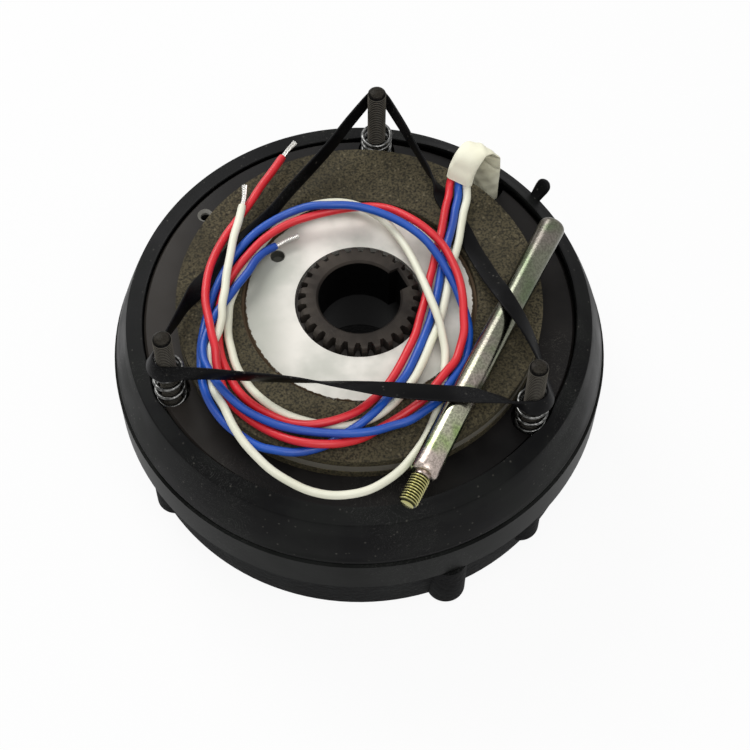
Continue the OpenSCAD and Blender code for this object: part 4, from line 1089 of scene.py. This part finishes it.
def collar_profile():
    """The section's outline: lip, crest, skirt, foot and hollow back, rounded by the cubic."""
    top, crest, foot = collar_top, collar_crest, collar_foot
    profile = [(LIP_R, top - 0.2), (LIP_R + 0.5, top), (LIP_R + 3.2, top - 1.7),
               (CREST_R - 0.9, crest + 0.5), (CREST_R, crest - 0.5), (CREST_R + 2.2, crest - 7),
               (CREST_R + 4.4, crest - 14), (FOOT_R - 0.3, foot + 2.8), (FOOT_R, foot + 1.8),
               (FOOT_R, foot + 0.7), (FOOT_R - 0.6, foot), (GRIP_R + 2, foot), (GRIP_R, foot + 0.4),
               (GRIP_R, foot + 5), (LIP_R + 2.4, crest - 5), (LIP_R, top - 2.6)]
    outline = smooth_path([(r, 0, z) for r, z in profile], COLLAR_STEP, closed=True)[0]
    return outline[:, :1], outline[:, 2:]


def collar_mesh(name):
    """The profile turned about the axis, with a slow ripple in its skirt, and the tab's tongue. The
    lip lies almost level with the plate on the far left side, by a smooth step in the angle, and
    is pushed out at each counter spring, by a bell curve of the angle from the spring."""
    r, z = collar_profile()
    angle = np.linspace(0, 2 * np.pi, COLLAR_SIDES, endpoint=False)
    over, up = z - collar_crest, z - collar_foot
    skirt = np.clip(-over / 6, 0, 1) * np.clip(up / 4, 0, 1) * (r > CREST_R - 1)
    ripple = 0.22 * np.sin(5 * angle + 0.6) + 0.12 * np.sin(11 * angle)
    lip_share = np.clip((CREST_R - r) / (CREST_R - LIP_R - 1), 0, 1)
    at_springs = sum(np.exp(-((angle - turn + np.pi) % (2 * np.pi) - np.pi) ** 2 / SPRING_SPAN**2)
                     for turn in (math.atan2(place.y, place.x) for place in stud_places))
    radius = r + skirt * ripple + lip_share * SPRING_PUSH * at_springs
    sunk = (1 + np.tanh((np.cos(angle - LOW_LIP) - 0.28) / 0.22)) / 2
    height = z - LIP_FALL * sunk * np.clip(over / 4, 0, 1)
    ring = turned(radius, angle, height)
    return grid_mesh(name, [(ring.transpose(1, 0, 2), True), (tab_grid(), False)], 60)


# %% Pull tab
TAB_ANGLE, TAB_RISE = math.radians(33), math.radians(50)
TAB_L, TAB_W, TAB_T, TAB_SIDES, TAB_RINGS = 11.0, 7.0, 2.5, 24, 24


def tab_grid():
    """Rings along the tab: a rounded strip that widens to its round end, tilted up and outwards."""
    run = np.linspace(0, 1, TAB_RINGS) ** 0.8
    end = np.sqrt(np.clip(1 - np.clip((run - 0.72) / 0.28, 0, 1) ** 2, 0.02, 1))
    width = TAB_W * (0.72 + 0.28 * np.clip(run / 0.6, 0, 1)) * end
    section = np.stack([flat_section(w, min(TAB_T, w), TAB_SIDES) for w in width])
    out = np.array([math.cos(TAB_ANGLE), math.sin(TAB_ANGLE), 0])
    side = np.array([-math.sin(TAB_ANGLE), math.cos(TAB_ANGLE), 0])
    along = out * math.cos(TAB_RISE) + np.array([0, 0, math.sin(TAB_RISE)])
    root = out * (CREST_R - 1.5) * MM + np.array([0, 0, (collar_crest - 1.0) * MM])
    path = root + run[:, None] * TAB_L * MM * along
    return sweep(path, section, side[None], np.cross(side, along)[None])


add_piece("collar", collar_mesh("collar"), collar_rubber, "magnet", "rubber_collar")

# %% [markdown]
# ## Floor, light and picture
# A plain white floor that looks white to the camera keeps a soft shadow. Two large soft lamps
# and an even world light the brake at a plain level.

# %% Floor
FLOOR_SIZE, FLOOR_DROP, FLOOR_WHITE, FLOOR_TONE = 12.0, 0.0002, 0.92, 0.82


def seen_by_eye(tree):
    """1 for what the camera sees, straight or in a mirror or glass, and 0 for light on things."""
    rays = put(tree, "ShaderNodeLightPath").outputs
    mirrored = calc(tree, "MAXIMUM", rays["Is Glossy Ray"], rays["Is Transmission Ray"])
    return calc(tree, "MAXIMUM", rays["Is Camera Ray"], mirrored)


floor_mesh = bpy.data.meshes.new("floor")
half = FLOOR_SIZE / 2
corners = [(-half, -half, 0), (half, -half, 0), (half, half, 0), (-half, half, 0)]
floor_mesh.from_pydata(corners, [], [(0, 1, 2, 3)])
floor = new_object("floor", floor_mesh)
floor.location.z = -FLOOR_DROP
floor_look, tree, sockets = new_material("floor_white", 0.9, 0.0, 0.1)
fill(tree, sockets, Base_Color=(FLOOR_TONE, FLOOR_TONE, FLOOR_TONE, 1))
both = put(tree, "ShaderNodeMixShader", Fac=times(tree, seen_by_eye(tree), FLOOR_WHITE))
feed(tree, both.inputs[1], tree.nodes["Principled BSDF"].outputs[0])
feed(tree, both.inputs[2], put(tree, "ShaderNodeEmission", Strength=1.0).outputs[0])
feed(tree, tree.nodes["Material Output"].inputs["Surface"], both.outputs[0])
floor_mesh.materials.append(floor_look)

# %% Light
WORLD_LEVEL = 0.32
LAMP_AIM = Vector((0, 0, 0.05))


def soft_lamp(name, place, size, power):
    """A square lamp that faces the brake."""
    data = bpy.data.lights.new(name, "AREA")
    data.size, data.energy = size, power
    lamp = new_object(name, data)
    lamp.location = place
    lamp.rotation_euler = (LAMP_AIM - Vector(place)).to_track_quat("-Z", "Y").to_euler()


soft_lamp("window", (-0.52, 0.95, 1.1), 0.8, 12.0)
soft_lamp("ceiling", (0.05, -0.5, 1.2), 0.9, 8.0)
world = bpy.data.worlds.new("studio")
world.use_nodes = True
tree = world.node_tree
extra = times(tree, seen_by_eye(tree), 1 - WORLD_LEVEL)
fill(tree, tree.nodes["Background"].inputs, Color=(1, 1, 1, 1),
     Strength=calc(tree, "ADD", extra, WORLD_LEVEL))
scene.world = world
scene.view_settings.view_transform = "Standard"
